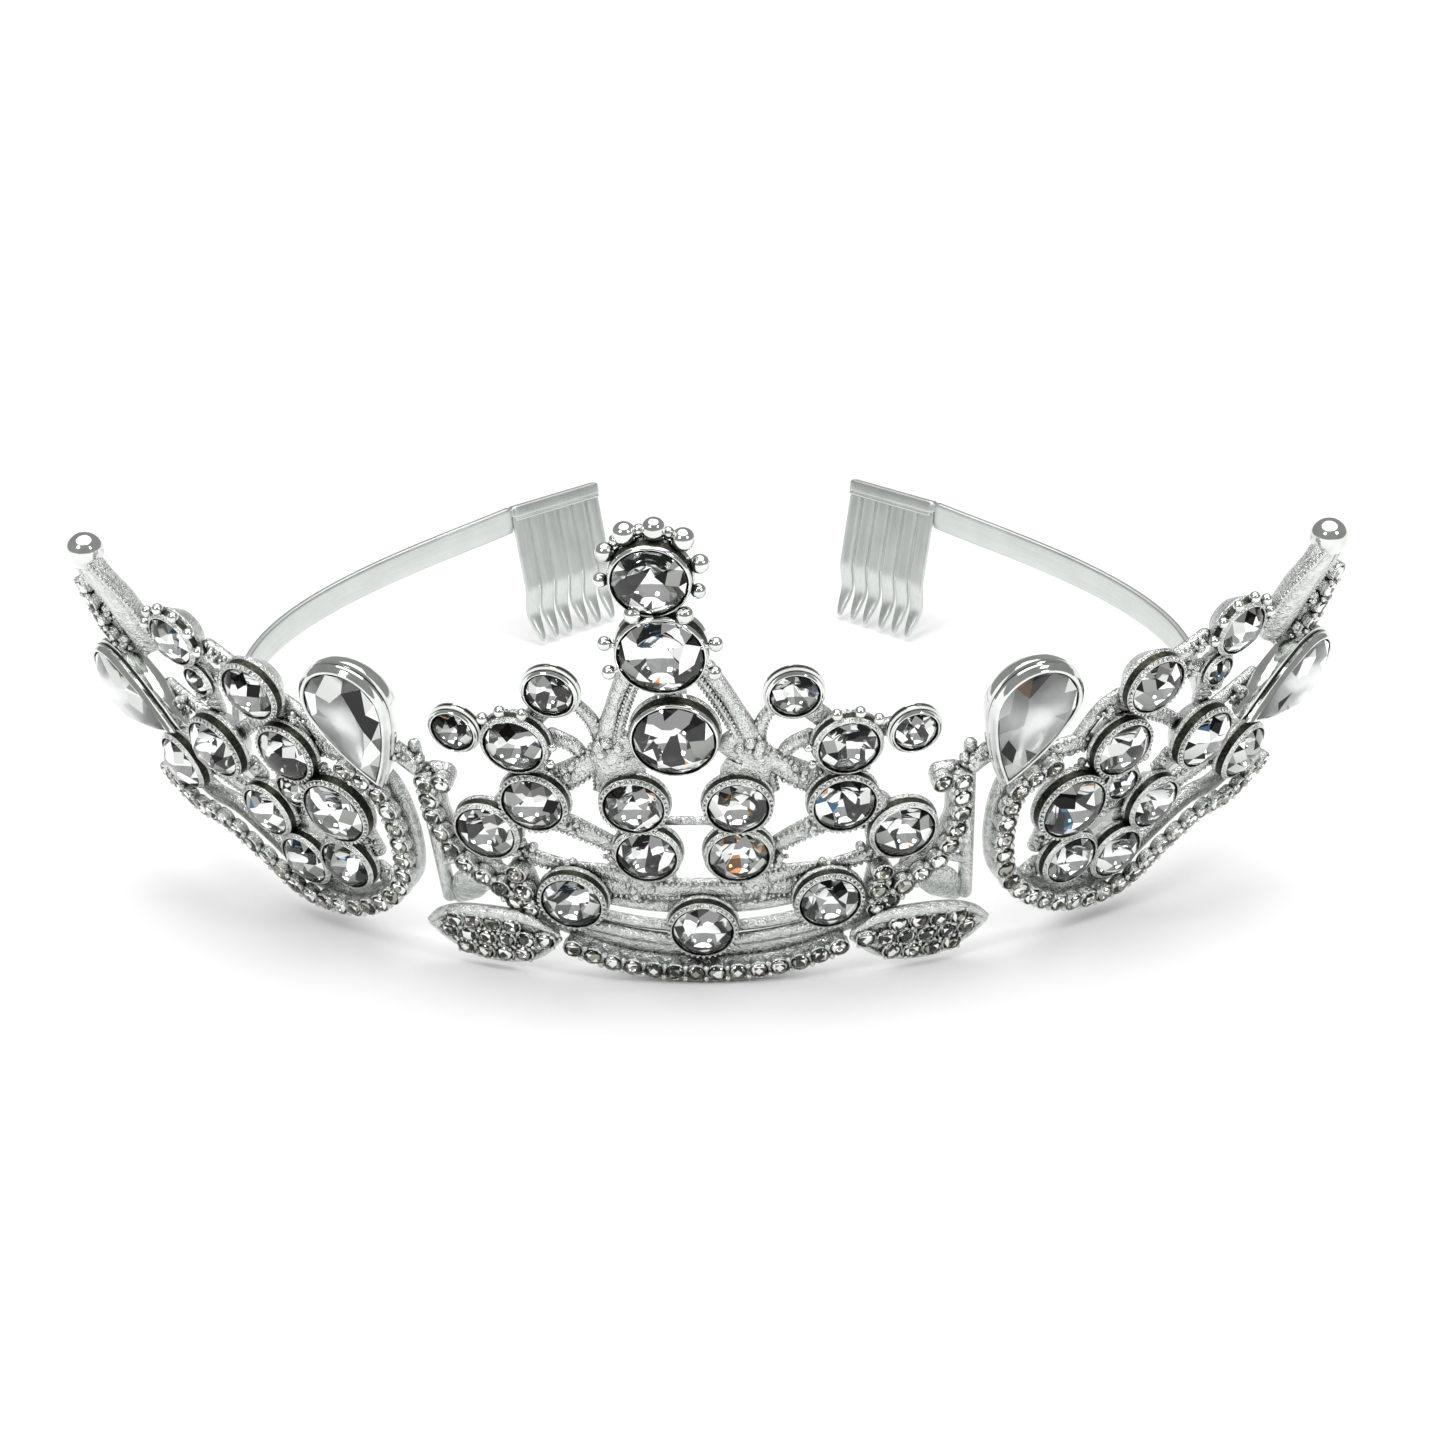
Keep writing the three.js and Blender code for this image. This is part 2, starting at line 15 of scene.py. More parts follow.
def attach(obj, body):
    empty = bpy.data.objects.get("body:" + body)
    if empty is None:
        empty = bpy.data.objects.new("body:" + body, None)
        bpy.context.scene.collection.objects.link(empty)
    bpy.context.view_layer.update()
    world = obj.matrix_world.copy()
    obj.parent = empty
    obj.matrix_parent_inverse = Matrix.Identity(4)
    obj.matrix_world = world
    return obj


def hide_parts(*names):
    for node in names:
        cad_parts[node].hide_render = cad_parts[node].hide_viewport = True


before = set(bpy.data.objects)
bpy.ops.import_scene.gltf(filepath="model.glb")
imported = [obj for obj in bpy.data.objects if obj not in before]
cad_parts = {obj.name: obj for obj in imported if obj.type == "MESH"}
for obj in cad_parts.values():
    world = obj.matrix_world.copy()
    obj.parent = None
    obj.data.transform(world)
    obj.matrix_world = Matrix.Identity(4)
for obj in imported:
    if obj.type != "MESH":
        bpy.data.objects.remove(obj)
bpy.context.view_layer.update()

bl_info = {
    "name": "Bridal tiara",
    "version": (1, 0, 0),
    "blender": (4, 5, 0),
    "location": "3D View > Sidebar > Tiara",
    "description": "Builds the castings, stones, band and combs of a bridal tiara",
    "category": "Object",
}

MM = 0.001
HANDS = {"left": -1, "right": 1}

# ------------------------------------------------------------------ layout, in millimetres and degrees

# Middle of the foot arc of the panel, placed so that the whole frame is centred on the origin.
FOOT_MIDDLE = np.array([0, 19.8781, 1.808])
FOOT_RADIUS = 64
FRONT_LEAN = 14
SIDE_LEAN = 8  # more at the sides
SIDE_RISE = 7
FLARE = 6  # how much wider the panel runs at 90 degrees round
FLARE_FROM = 25
SWAY = 4  # the tall middle is bent this many degrees to the left
SWAY_TO = 42

FRAME_BACK = -0.8  # back of the castings, from the panel
CUP_FLOOR = 0.5
CULET_GAP = 0.3  # from a stone's lowest point to its cup's floor
PAVILION = 0.75  # depth of a round stone under its girdle, from its radius
PATH_STEP = 0.45  # from ring to ring along a limb

# Round stones: across, up, diameter, and how their cups are made.
SPIRE = {
    "crest": (0, 48.5, 7.0, "slim"),
    "neck": (0, 40.4, 8.0, "slim"),
    "heart": (0, 30.4, 7.8, "slim"),
    "foot": (0, 5.5, 6.0, "milled"),
}
BRANCHES = {
    "pair_upper": (4.6, 21.4, 5.8, "milled"),
    "pair_lower": (4.2, 15.2, 5.8, "plain"),
    "swag_end": (12.3, 8.5, 6.0, "milled"),
    "branch_top": (10.2, 34.5, 4.6, "domed"),
    "branch_crown": (14.4, 28.1, 5.8, "plain"),
    "branch_side": (20.2, 28.6, 4.2, "domed"),
    "branch_inner": (13.9, 21, 6.0, "milled"),
    "branch_outer": (19.3, 16.6, 6.0, "plain"),
}
WING = {
    "wing_main": (36, 15.1, 7.0, "milled"),
    "wing_low": (37.5, 7.2, 5.6, "plain"),
    "wing_base": (43.4, 5.6, 5.6, "plain"),
    "wing_inner": (46.6, 11, 5.6, "plain"),
    "wing_upper": (40.3, 21, 6.0, "milled"),
    "wing_top": (42, 28.4, 6.0, "milled"),
    "wing_middle": (50.4, 18.2, 6.6, "milled"),
    "wing_outer": (58.8, 12.2, 6.0, "plain"),
    "wing_crown": (50.3, 32, 5.4, "plain"),
}
# Two small stones of each wing, too small to be solids of their own in the frame.
WING_BUDS = {
    "bud_low": (42.2, 14.9, 3.4, "plain"),
    "bud_high": (50.3, 26.2, 3.0, "plain"),
}

# Pear stones: middle of the round end, turn of the point from straight down, and stand-off.
PEAR_RADIUS = 4.2
PEAR_LENGTH = 13
PEARS = {"scroll": (30.2, 30.4, -14, 3.2), "wing": (62.6, 21.4, -76, 3.2)}
PEAR_CENTRE = np.array([0, -0.2 * PEAR_LENGTH])  # the facets draw in to here

# Rows of small stones: the route of each, and how far its girdles stand off the panel.
SCROLL_ROW = ([
    (22.8, 21.8), (24.6, 21.6), (24.7, 19.2), (24.8, 16.6), (24.2, 14.4), (23.4, 12.2),
    (21.8, 10.6), (19.8, 9.2), (18.2, 7.4),
], 1.9)
CLUSTER_ROW = ([(17.5, 11.2), (17.1, 8.8), (16.9, 6.6)], 1.9)
WING_ROW = ([
    (33, 21.4), (30.2, 19.8), (29.2, 16.6), (29.2, 12), (30.2, 7.8), (33, 4.4), (37, 1.9),
    (41, 0.9), (45.4, 1.2), (50, 4.6), (54.4, 6.8), (59, 6.6), (63.6, 8.6),
], 2.7)
FOOT_ROW = ([(-13, 2.6), (-8, 0.9), (0, 0.2), (8, 0.9), (13, 2.6)], 2.6)
TIP_ROW = ([(61.5, 25.6), (62.2, 28.4), (62.4, 31.2), (62.6, 33.6)], 1.9)

# The leaf at a scroll's foot: its edges, the stand-off of its back, and its thickness.
LEAF_LOWER = [(14.4, 3.4), (16.8, 0.9), (20, -0.3), (23.6, -0.4), (26.4, 0.7), (28.4, 2.4)]
LEAF_UPPER = [(14.4, 4), (17, 5.6), (20, 5.9), (23.6, 5.5), (26.4, 4.6), (28.4, 2.9)]
LEAF_OUT = 1.6
LEAF_THICKNESS = 0.9

# The band and the combs' lines in plan, both from the middle of the foot arc; heights from the foot.
BAND = {"half_width": 56.4, "widest_at": -12, "hidden_from": 36, "leaves_at": 50,
        "front_height": 5.2, "gap": 0.3}
COMB = {"inner": (17.5, 39.6), "outer": (28, 29.6), "top": 17, "tips": -1.3, "plate": 11, "lean": 13}


# ------------------------------------------------------------------ settings

def length(name, description, millimetres):
    """A length, kept in metres."""
    return bpy.props.FloatProperty(
        name=name, description=description, default=millimetres * MM, unit="LENGTH")


def share_of(name, description, share):
    """A size that is a share of another."""
    return bpy.props.FloatProperty(
        name=name, description=description, default=share, subtype="FACTOR")


def angle_of(name, description, degrees):
    """An angle, kept in radians."""
    return bpy.props.FloatProperty(
        name=name, description=description, default=math.radians(degrees), subtype="ANGLE")


def colour_of(name, description, colour):
    """A colour without alpha."""
    return bpy.props.FloatVectorProperty(
        name=name, description=description, default=colour, subtype="COLOR", size=3)


class TiaraSizes(bpy.types.PropertyGroup):
    """Sizes that a maker would change."""

    bead: length("Milgrain bead", "Radius of the small beads along rims and limbs", 0.24)
    cup_wall: length("Cup wall", "Thickness of a stone's cup at its rim", 0.65)
    clearance: length("Stone clearance", "Gap between a stone's girdle and its cup", 0.12)
    table: share_of("Table share", "Width of a stone's table from the width of the stone", 0.5)
    crown: share_of("Crown share", "Height of a stone's crown from its radius", 0.42)
    small_stone: length("Small stone", "Diameter of the stones in the rows", 1.8)
    small_step: length("Small stone spacing", "Distance from stone to stone in a row", 2.1)
    band_height: length("Band height", "Height of the sprung band", 3.6)
    band_thickness: length("Band thickness", "Thickness of the sprung band", 0.9)
    teeth: bpy.props.IntProperty(
        name="Comb teeth", description="Teeth of each comb", default=6, min=2)
    tooth: length("Tooth width", "Width of a comb's tooth at its root", 2.1)


class TiaraColours(bpy.types.PropertyGroup):
    """Colours of the plating and the stones."""

    silver: colour_of("Bright silver", "Polished plating of the castings", (0.8, 0.83, 0.8))
    # Painted shade: the dark colour laid into the castings' nooks and cups, where shade falls.
    painted_recess_shade: colour_of("Recess", "Plating in the recesses of the castings", (0.09, 0.09, 0.07))
    satin: colour_of(
        "Satin silver", "Brushed plating of the band and the combs", (0.7, 0.735, 0.71))
    foil: colour_of("Foil", "Mirror foil behind the clear stones", (0.96, 0.97, 0.96))
    champagne: colour_of(
        "Small stone foil", "Foil behind the stones in the rows", (0.8, 0.8, 0.72))


class TiaraStage(bpy.types.PropertyGroup):
    """Floor, light and camera."""

    floor: colour_of("Floor", "Colour of the floor", (0.95, 0.95, 0.95))
    daylight: bpy.props.FloatProperty(
        name="Surround", description="Brightness of the even surround", default=0.32)
    overhead: bpy.props.FloatProperty(
        name="Overhead light", description="Strength of the wide soft light overhead", default=2.5)
    elevation: angle_of("Camera elevation", "Height of the camera as an angle", 23.4)
    azimuth: angle_of("Camera azimuth", "Turn of the camera to the right", 1.54)
    roll: angle_of("Camera roll", "Roll of the camera about its view", -1.17)
    distance: length(
        "Camera distance", "From the middle of the panel's foot to the camera", 342.6)
    lens: bpy.props.FloatProperty(
        name="Lens", description="Focal length in millimetres on a 36 mm sensor", default=68.6)


# ------------------------------------------------------------------ shapes: points and groups of faces

def skin(rings, dark=()):
    """A closed surface over rings of points, counter-clockwise round the way that they follow.

    Each ring's corners join the next ring's by quads, and both end rings close on a middle point.
    Faces take finish 0, and finish 1 from the first to the last ring of each pair in dark.
    """
    rows, columns, _ = rings.shape
    points = np.concatenate([rings.reshape(-1, 3), rings[[0, -1]].mean(axis=1)])
    row, column = np.meshgrid(np.arange(rows - 1), np.arange(columns), indexing="ij")
    here = row * columns + column
    beside = row * columns + (column + 1) % columns
    quads = np.stack([here, beside, beside + columns, here + columns], -1)
    rim = np.arange(columns)
    after = (rim + 1) % columns
    last = (rows - 1) * columns
    start_fan = np.stack([after, rim, np.full(columns, rows * columns)], -1)
    end_fan = np.stack([rim + last, after + last, np.full(columns, rows * columns + 1)], -1)
    # On the castings, finish 1 is the painted shadow.
    finish = np.zeros(rows - 1, int)
    for first, last_ring in dark:
        finish[first:last_ring] = 1
    faces = [(quads[finish == kind].reshape(-1, 4), kind) for kind in np.unique(finish)]
    faces += [(start_fan, finish[0]), (end_fan, finish[-1])]
    return points, faces


def round_angles(count):
    """Even angles once round, from 0."""
    return np.linspace(0, 2 * np.pi, count, endpoint=False)


def turned(profile, sides, dark=()):
    """A profile of (radius, height) pairs turned round Z: x = r cos a, y = r sin a, z = height."""
    profile = np.asarray(profile, float)
    angle = round_angles(sides)
    rings = np.stack(np.broadcast_arrays(
        profile[:, :1] * np.cos(angle), profile[:, :1] * np.sin(angle), profile[:, 1:]), -1)
    return skin(rings, dark)


def ball(radius, sides, rows):
    """A sphere as a turned half circle: radius r sin a, height -r cos a."""
    angle = np.linspace(0, np.pi, rows + 2)[1:-1]
    return turned(np.stack([radius * np.sin(angle), -radius * np.cos(angle)], -1), sides)


def pin(radius, stem, length):
    """A ball at the origin on a stem that comes up from -Z, as one turned profile."""
    angle = np.linspace(np.pi * 0.14, np.pi, 11)[:-1]
    head = np.stack([radius * np.sin(angle), -radius * np.cos(angle)], -1)
    foot = [(0.6 * stem, -length), (stem, -length), (0.8 * stem, -0.5 * length)]
    return turned(np.concatenate([foot, head]), 18)


def lengths(line):
    """How far along a line each of its points is."""
    return np.concatenate([[0], np.cumsum(np.linalg.norm(np.diff(line, axis=0), axis=1))])


def spaced(line, reach, count, closed=False):
    """Points of a line at even steps of its reach, which rises from point to point."""
    target = np.linspace(0, reach[-1], count, endpoint=not closed)
    return np.stack([np.interp(target, reach, column) for column in line.T], -1)


def smooth_line(route, count):
    """Evenly spaced points of the Catmull-Rom curve through a route, by its length."""
    route = np.asarray(route, float)
    ends = np.concatenate([2 * route[:1] - route[1:2], route, 2 * route[-1:] - route[-2:-1]])
    reach = np.linspace(0, len(route) - 1, 60 * len(route))
    part = np.minimum(reach.astype(int), len(route) - 2)
    t = (reach - part)[:, None]
    a, b, c, d = (ends[part + step] for step in range(4))
    curve = 0.5 * (2 * b + (c - a) * t + (2 * a - 5 * b + 4 * c - d) * t**2
                   + (3 * b - a - 3 * c + d) * t**3)
    return spaced(curve, lengths(curve), count)


def unit(vectors):
    """Vectors brought to length 1."""
    return vectors / np.linalg.norm(vectors, axis=-1, keepdims=True)


def held(rows):
    """Rows with the first and the last held on, for the three rings of each dome of a tube."""
    return np.concatenate([rows[[0] * 3], rows, rows[[-1] * 3]])


def tube(path, outwards, across_radius, out_radius, sides=14, square=1.0):
    """A tube along a path: each ring is an oval, or a rounded box where square is under 1.

    Ring point = middle + across_radius * C * (outwards x forward) + out_radius * S * outwards, where
    C and S are the signed powers of cosine and sine. Both ends close with a dome.
    """
    forward = unit(np.gradient(path, axis=0))
    sideways = unit(np.cross(outwards, forward))
    outwards = np.cross(forward, sideways)
    across_radius = np.broadcast_to(across_radius, len(path)).astype(float)
    out_radius = np.broadcast_to(out_radius, len(path)).astype(float)
    dome = np.radians([20, 45, 70])
    swell, inset = np.sin(dome), np.cos(dome)
    cap = np.minimum(across_radius, out_radius)
    middle = np.concatenate([
        path[:1] - inset[:, None] * cap[0] * forward[:1], path,
        path[-1:] + inset[::-1, None] * cap[-1] * forward[-1:]])
    wide = np.concatenate([across_radius[0] * swell, across_radius, across_radius[-1] * swell[::-1]])
    tall = np.concatenate([out_radius[0] * swell, out_radius, out_radius[-1] * swell[::-1]])
    angle = round_angles(sides) + np.pi / sides
    cosine = np.sign(np.cos(angle)) * np.abs(np.cos(angle)) ** square
    sine = np.sign(np.sin(angle)) * np.abs(np.sin(angle)) ** square
    rings = (middle[:, None]
             + (wide[:, None] * cosine)[..., None] * held(sideways)[:, None]
             + (tall[:, None] * sine)[..., None] * held(outwards)[:, None])
    return skin(rings)


def outward(points, faces):
    """Faces of a convex body, each turned round where it would look inwards."""
    middle = points.mean(axis=0)
    corner = points[faces[:, :3]]
    normal = np.cross(corner[:, 1] - corner[:, 0], corner[:, 2] - corner[:, 0])
    inside = np.einsum("ij,ij->i", normal, points[faces].mean(axis=1) - middle) < 0
    return np.where(inside[:, None], faces[:, ::-1], faces)


def brilliant(outline, centre, table, crown, depth, girdle):
    """A cut stone over an even number of girdle corners, every second one under a main facet.

    table is the table's share of the outline; crown and depth are heights over and under the middle
    of the girdle, and girdle is half its thickness.
    The table and the star points are the outline drawn in towards the centre, at heights that keep
    the kite facets flat on a round stone. Crown faces take finish 0 and the foiled back finish 1.
    """
    corners = len(outline)
    mains = corners // 2
    step = np.arange(mains)
    offset = outline - centre
    slope = np.cos(np.pi / mains)

    def ring(select, share, height):
        flat = centre + share * offset[select]
        return np.column_stack([flat, np.full(len(flat), height)])

    star, back = 0.8, 0.5
    star_height = crown - (star * slope - table) / (1 - table) * (crown - girdle)
    back_height = -depth + back * slope * (depth - girdle)
    every = np.arange(corners)
    points = np.concatenate([
        ring(every, 1, girdle), ring(every, 1, -girdle), ring(2 * step, table, crown),
        ring(2 * step + 1, star, star_height), ring(2 * step + 1, back, back_height),
        [[*centre, -depth]]])
    top, under = every, every + corners
    tables, stars, backs = (2 * corners + block * mains + step for block in range(3))
    culet = np.full(mains, len(points) - 1)
    even, odd = 2 * step, 2 * step + 1
    following = (2 * step + 2) % corners
    right = np.roll(step, -1)
    left = np.roll(step, 1)
    crown_faces = [
        tables[None],
        np.column_stack([tables, stars, tables[right]]),
        np.column_stack([stars, top[even], top[odd]]),
        np.column_stack([stars, top[odd], top[following]]),
        np.column_stack([tables, stars[left], top[even], stars]),
        np.column_stack([top, under, np.roll(under, -1), np.roll(top, -1)]),
    ]
    back_faces = [
        np.column_stack([backs, under[even], under[odd]]),
        np.column_stack([backs, under[odd], under[following]]),
        np.column_stack([culet, backs[left], under[even], backs]),
    ]
    return points, ([(outward(points, group), 0) for group in crown_faces]
                    + [(outward(points, group), 1) for group in back_faces])


def circle(radius, corners):
    """Corners of a regular outline."""
    angle = round_angles(corners)
    return radius * np.column_stack([np.cos(angle), np.sin(angle)])


def pear_outline(corners, grow=0.0):
    """A pear outline from its point round: an arc of 220 degrees, and two sides that bow a little."""
    wide = PEAR_RADIUS + grow
    tip = PEAR_LENGTH - PEAR_RADIUS + 1.4 * grow
    angle = np.radians(np.linspace(-20, 200, 60))
    arc = wide * np.column_stack([np.cos(angle), np.sin(angle)])
    share = np.linspace(0, 1, 30)[:-1, None]

    def side(sign):
        point = np.array([0, -tip])
        bow = np.array([sign * 0.66 * wide, -0.6 * tip])
        shoulder = arc[0] if sign > 0 else arc[-1]
        return (1 - share) ** 2 * point + 2 * share * (1 - share) * bow + share**2 * shoulder

    line = np.concatenate([side(1), arc, side(-1)[::-1]])
    return spaced(line, lengths(line), corners, closed=True)


# ------------------------------------------------------------------ the panel

def panel_point(across, up):
    """Points of the panel: an arc of the foot radius whose slope leans out, flares and sways."""
    across, up = np.broadcast_arrays(np.asarray(across, float), np.asarray(up, float))
    turn = across / FOOT_RADIUS
    side = np.abs(turn)
    lean = np.radians(FRONT_LEAN + SIDE_LEAN * np.sin(side) ** 2)
    share = (side - math.radians(FLARE_FROM)) / math.radians(90 - FLARE_FROM)
    sway = math.tan(math.radians(SWAY)) * np.maximum(0, 1 - (side / math.radians(SWAY_TO)) ** 2)
    radius = FOOT_RADIUS + FLARE * np.maximum(0, share) ** 1.3 + up * np.sin(lean)
    angle = turn - up * sway / FOOT_RADIUS
    height = SIDE_RISE * (1 - np.cos(side)) + up * np.cos(lean)
    return np.stack([radius * np.sin(angle), -radius * np.cos(angle), height], -1) + FOOT_MIDDLE


def seats(across, up, out=0.0):
    """Matrices that seat shapes on the panel: X along it, Y up its slope, Z away from it."""
    across, up, out = (np.atleast_1d(np.asarray(value, float)) for value in (across, up, out))
    across, up, out = np.broadcast_arrays(across, up, out)
    step = 0.05
    along = unit(panel_point(across + step, up) - panel_point(across - step, up))
    climb = panel_point(across, up + step) - panel_point(across, up - step)
    away = unit(np.cross(along, climb))
    places = np.zeros((len(across), 4, 4))
    places[:, :3, 0] = along
    places[:, :3, 1] = np.cross(away, along)
    places[:, :3, 2] = away
    places[:, :3, 3] = panel_point(across, up) + out[:, None] * away
    places[:, 3, 3] = 1
    return places


def girdle_out(radius):
    """How far a round stone's girdle stands off the panel."""
    return FRAME_BACK + CUP_FLOOR + CULET_GAP + PAVILION * radius


def stone_seat(side, stone):
    """Where a round stone's girdle lies."""
    across, up, diameter, _ = stone
    return seats(side * across, up, girdle_out(diameter / 2))[0]


def pear_seat(side, pear):
    """Where a pear stone's girdle lies, with its point turned."""
    across, up, tilt, out = pear
    turn = np.array(Matrix.Rotation(side * math.radians(tilt), 4, "Z"))
    return seats(side * across, up, out)[0] @ turn


def row_seats(side, row, step):
    """Even places of a row's small stones, about a step apart on the panel."""
    route, out = row
    dense = smooth_line(route, 300)
    reach = lengths(panel_point(side * dense[:, 0], dense[:, 1]))
    count = max(2, int(round(reach[-1] / step)) + 1)
    line = spaced(dense, reach, count)
    return seats(side * line[:, 0], line[:, 1], out)


def shifts(points):
    """Matrices that only move a shape to each point."""
    places = np.tile(np.eye(4), (len(points), 1, 1))
    places[:, :3, 3] = points
    return places


def radials(angles, reach, height):
    """Matrices round Z at a distance and height, with their own Z pointing away from the axis."""
    angles = np.atleast_1d(angles)
    places = np.zeros((len(angles), 4, 4))
    places[:, :3, 0] = np.column_stack([-np.sin(angles), np.cos(angles), 0 * angles])
    places[:, 2, 1] = 1
    places[:, :3, 2] = np.column_stack([np.cos(angles), np.sin(angles), 0 * angles])
    places[:, :3, 3] = np.column_stack([
        reach * np.cos(angles), reach * np.sin(angles), np.full(len(angles), height)])
    places[:, 3, 3] = 1
    return places


# ------------------------------------------------------------------ a piece and its mesh

def seed(name):
    """A number that stands for a name."""
    return sum(map(ord, name))


def in_scene(name, data):
    """A new object in the scene."""
    made = bpy.data.objects.new(name, data)
    bpy.context.scene.collection.objects.link(made)
    return made


class Piece:
    """Points and faces of one piece, gathered shape by shape in millimetres."""

    def __init__(self, name):
        self.name = name
        self.points = []
        self.lay = []
        self.corners = []
        self.counts = []
        self.finishes = []
        self.smooth = []
        self.total = 0

    def add(self, shape, places=None, smooth=True, lay=None, lift=0):
        """Puts a shape at each place; lay gives its points' own coordinates, for a grain.

        lift is the finish that takes the place of finish 0.
        """
        points, groups = shape
        places = np.eye(4)[None] if places is None else np.reshape(places, (-1, 4, 4))
        moved = np.einsum("cij,nj->cni", places[:, :3, :3], points) + places[:, None, :3, 3]
        self.points.append(moved.reshape(-1, 3))
        self.lay.append(np.tile(points if lay is None else lay, (len(places), 1)))
        starts = self.total + len(points) * np.arange(len(places))
        for faces, finish in groups:
            placed = faces[None] + starts[:, None, None]
            self.corners.append(placed.ravel())
            amount = len(faces) * len(places)
            self.counts.append(np.full(amount, faces.shape[1]))
            self.finishes.append(np.full(amount, finish or lift))
            self.smooth.append(np.full(amount, smooth))
        self.total += len(points) * len(places)

    def build(self, finishes, slot, replaced):
        """Makes the object, with its finishes, picks of painted reflection and the node that it stands
        for.
        """
        mesh = bpy.data.meshes.new(self.name)
        points = np.concatenate(self.points) * MM
        corners = np.concatenate(self.corners)
        counts = np.concatenate(self.counts)
        mesh.vertices.add(len(points))
        mesh.vertices.foreach_set("co", points.ravel())
        mesh.loops.add(len(corners))
        mesh.loops.foreach_set("vertex_index", corners)
        mesh.polygons.add(len(counts))
        mesh.polygons.foreach_set("loop_start", np.concatenate([[0], np.cumsum(counts)[:-1]]))
        mesh.polygons.foreach_set("material_index", np.concatenate(self.finishes))
        mesh.polygons.foreach_set("use_smooth", np.concatenate(self.smooth))
        # A random pick for each face, which the stones' finishes turn into painted reflections.
        reflection_picks = np.random.default_rng(seed(self.name)).random(len(counts))
        reflection_picks[counts > 4] = 0  # a stone's table has more corners than its facets
        mesh.attributes.new("reflection_pick", "FLOAT", "FACE").data.foreach_set("value", reflection_picks)
        lay = mesh.attributes.new("lay", "FLOAT_VECTOR", "POINT")
        lay.data.foreach_set("vector", np.concatenate(self.lay).ravel() * MM)
        mesh.update(calc_edges=True)
        mesh.validate()
        mesh.set_sharp_from_angle(angle=math.radians(38))
        for finish in finishes:
            mesh.materials.append(finish)
        piece = in_scene(self.name, mesh)
        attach(piece, "root")
        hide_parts(*replaced)


# ------------------------------------------------------------------ finishes

class Signal:
    """One number in a material; arithmetic on it adds Math nodes."""

    def __init__(self, surface, socket):
        self.surface = surface
        self.socket = socket

    def maths(self, operation, *values):
        """The result of an operation on signals and numbers."""
        links = {place: getattr(value, "socket", value) for place, value in enumerate(values)}
        node = self.surface.node("ShaderNodeMath", {"operation": operation}, links)
        return Signal(self.surface, node.outputs[0])

    def __add__(self, other):
        return self.maths("ADD", self, other)

    __radd__ = __add__

    def __rsub__(self, other):
        return self.maths("SUBTRACT", other, self)

    def __mul__(self, other):
        return self.maths("MULTIPLY", self, other)

    __rmul__ = __mul__

    def between(self, low, high):
        """0 under low, 1 over high, and even in between."""
        node = self.surface.node("ShaderNodeMapRange", {}, {0: self.socket, 1: low, 2: high})
        return Signal(self.surface, node.outputs[0])


class Surface:
    """A material while it is put together."""

    def __init__(self, name, **constants):
        self.material = bpy.data.materials.new(name)
        self.material.use_nodes = True
        self.tree = self.material.node_tree
        self.tree.nodes.clear()
        self.shader = self.node("ShaderNodeBsdfPrincipled", {}, constants)
        self.node("ShaderNodeOutputMaterial", {}, {"Surface": self.shader.outputs[0]})

    def node(self, kind, settings, inputs):
        """Adds a node, sets its settings, then its sockets to values or links."""
        node = self.tree.nodes.new(kind)
        for name, value in settings.items():
            setattr(node, name, value)
        for name, value in inputs.items():
            socket = node.inputs[name]
            if isinstance(value, bpy.types.NodeSocket):
                self.tree.links.new(value, socket)
            else:
                socket.default_value = value
        return node

    def feed(self, name, value):
        """Links a signal or a colour to one of the shader's sockets."""
        self.tree.links.new(getattr(value, "socket", value), self.shader.inputs[name])

    def place(self, stretch=(1, 1, 1), attribute=None):
        """Object coordinates, or an attribute's, stretched."""
        if attribute is None:
            source = self.node("ShaderNodeTexCoord", {}, {}).outputs["Object"]
        else:
            source = self.node("ShaderNodeAttribute", {"attribute_name": attribute}, {}).outputs["Vector"]
        return self.node("ShaderNodeMapping", {}, {"Vector": source, "Scale": stretch}).outputs[0]

    def noise(self, place, scale, detail=2.0, roughness=0.5):
        """Fractal noise of a number of waves to the metre."""
        node = self.node("ShaderNodeTexNoise", {}, {
            "Vector": place, "Scale": scale, "Detail": detail, "Roughness": roughness})
        return Signal(self, node.outputs["Fac"])

    def blend(self, share, low, high):
        """A colour between two colours."""
        node = self.node("ShaderNodeMix", {"data_type": "RGBA"}, {
            0: share.socket, 6: self.colour(low), 7: self.colour(high)})
        return node.outputs[2]

    @staticmethod
    def colour(value):
        """A colour with its alpha, or a link as it is."""
        return value if isinstance(value, bpy.types.NodeSocket) else (*value, 1)

    def bump(self, height, depth):
        """Relief of a height signal, whose full swing is depth in metres."""
        node = self.node("ShaderNodeBump", {}, {"Height": height.socket, "Distance": depth})
        self.feed("Normal", node.outputs[0])


def recess(surface, distance):
    """Ambient occlusion, 0 in nooks up to 1 in the open, within a distance: the mask of painted shade."""
    nook = surface.node("ShaderNodeAmbientOcclusion", {"samples": 4}, {"Distance": distance})
    return Signal(surface, nook.outputs["AO"]).between(0.2, 0.85)


def cast_silver(colours):
    """Bright plating over a grainy casting: lumps, pits, and painted shade in its recesses."""
    surface = Surface("cast_silver", Metallic=1.0)
    place = surface.place()
    lumps = surface.noise(place, 1300, 3.0, 0.6)
    pits = surface.noise(place, 5200, 3.0)
    clear = recess(surface, 1.3 * MM)
    pale = surface.blend(lumps.between(0.35, 0.65), [0.74 * level for level in colours.silver],
                         colours.silver)
    # Painted shade: the recess colour blended in where ambient occlusion finds nooks.
    surface.feed("Base Color", surface.blend(clear, colours.painted_recess_shade, pale))
    surface.feed("Roughness", 0.1 + 0.2 * pits.between(0.35, 0.8) + 0.1 * (1 - clear))
    surface.bump(lumps + 0.3 * pits, 0.3 * MM)
    return surface.material


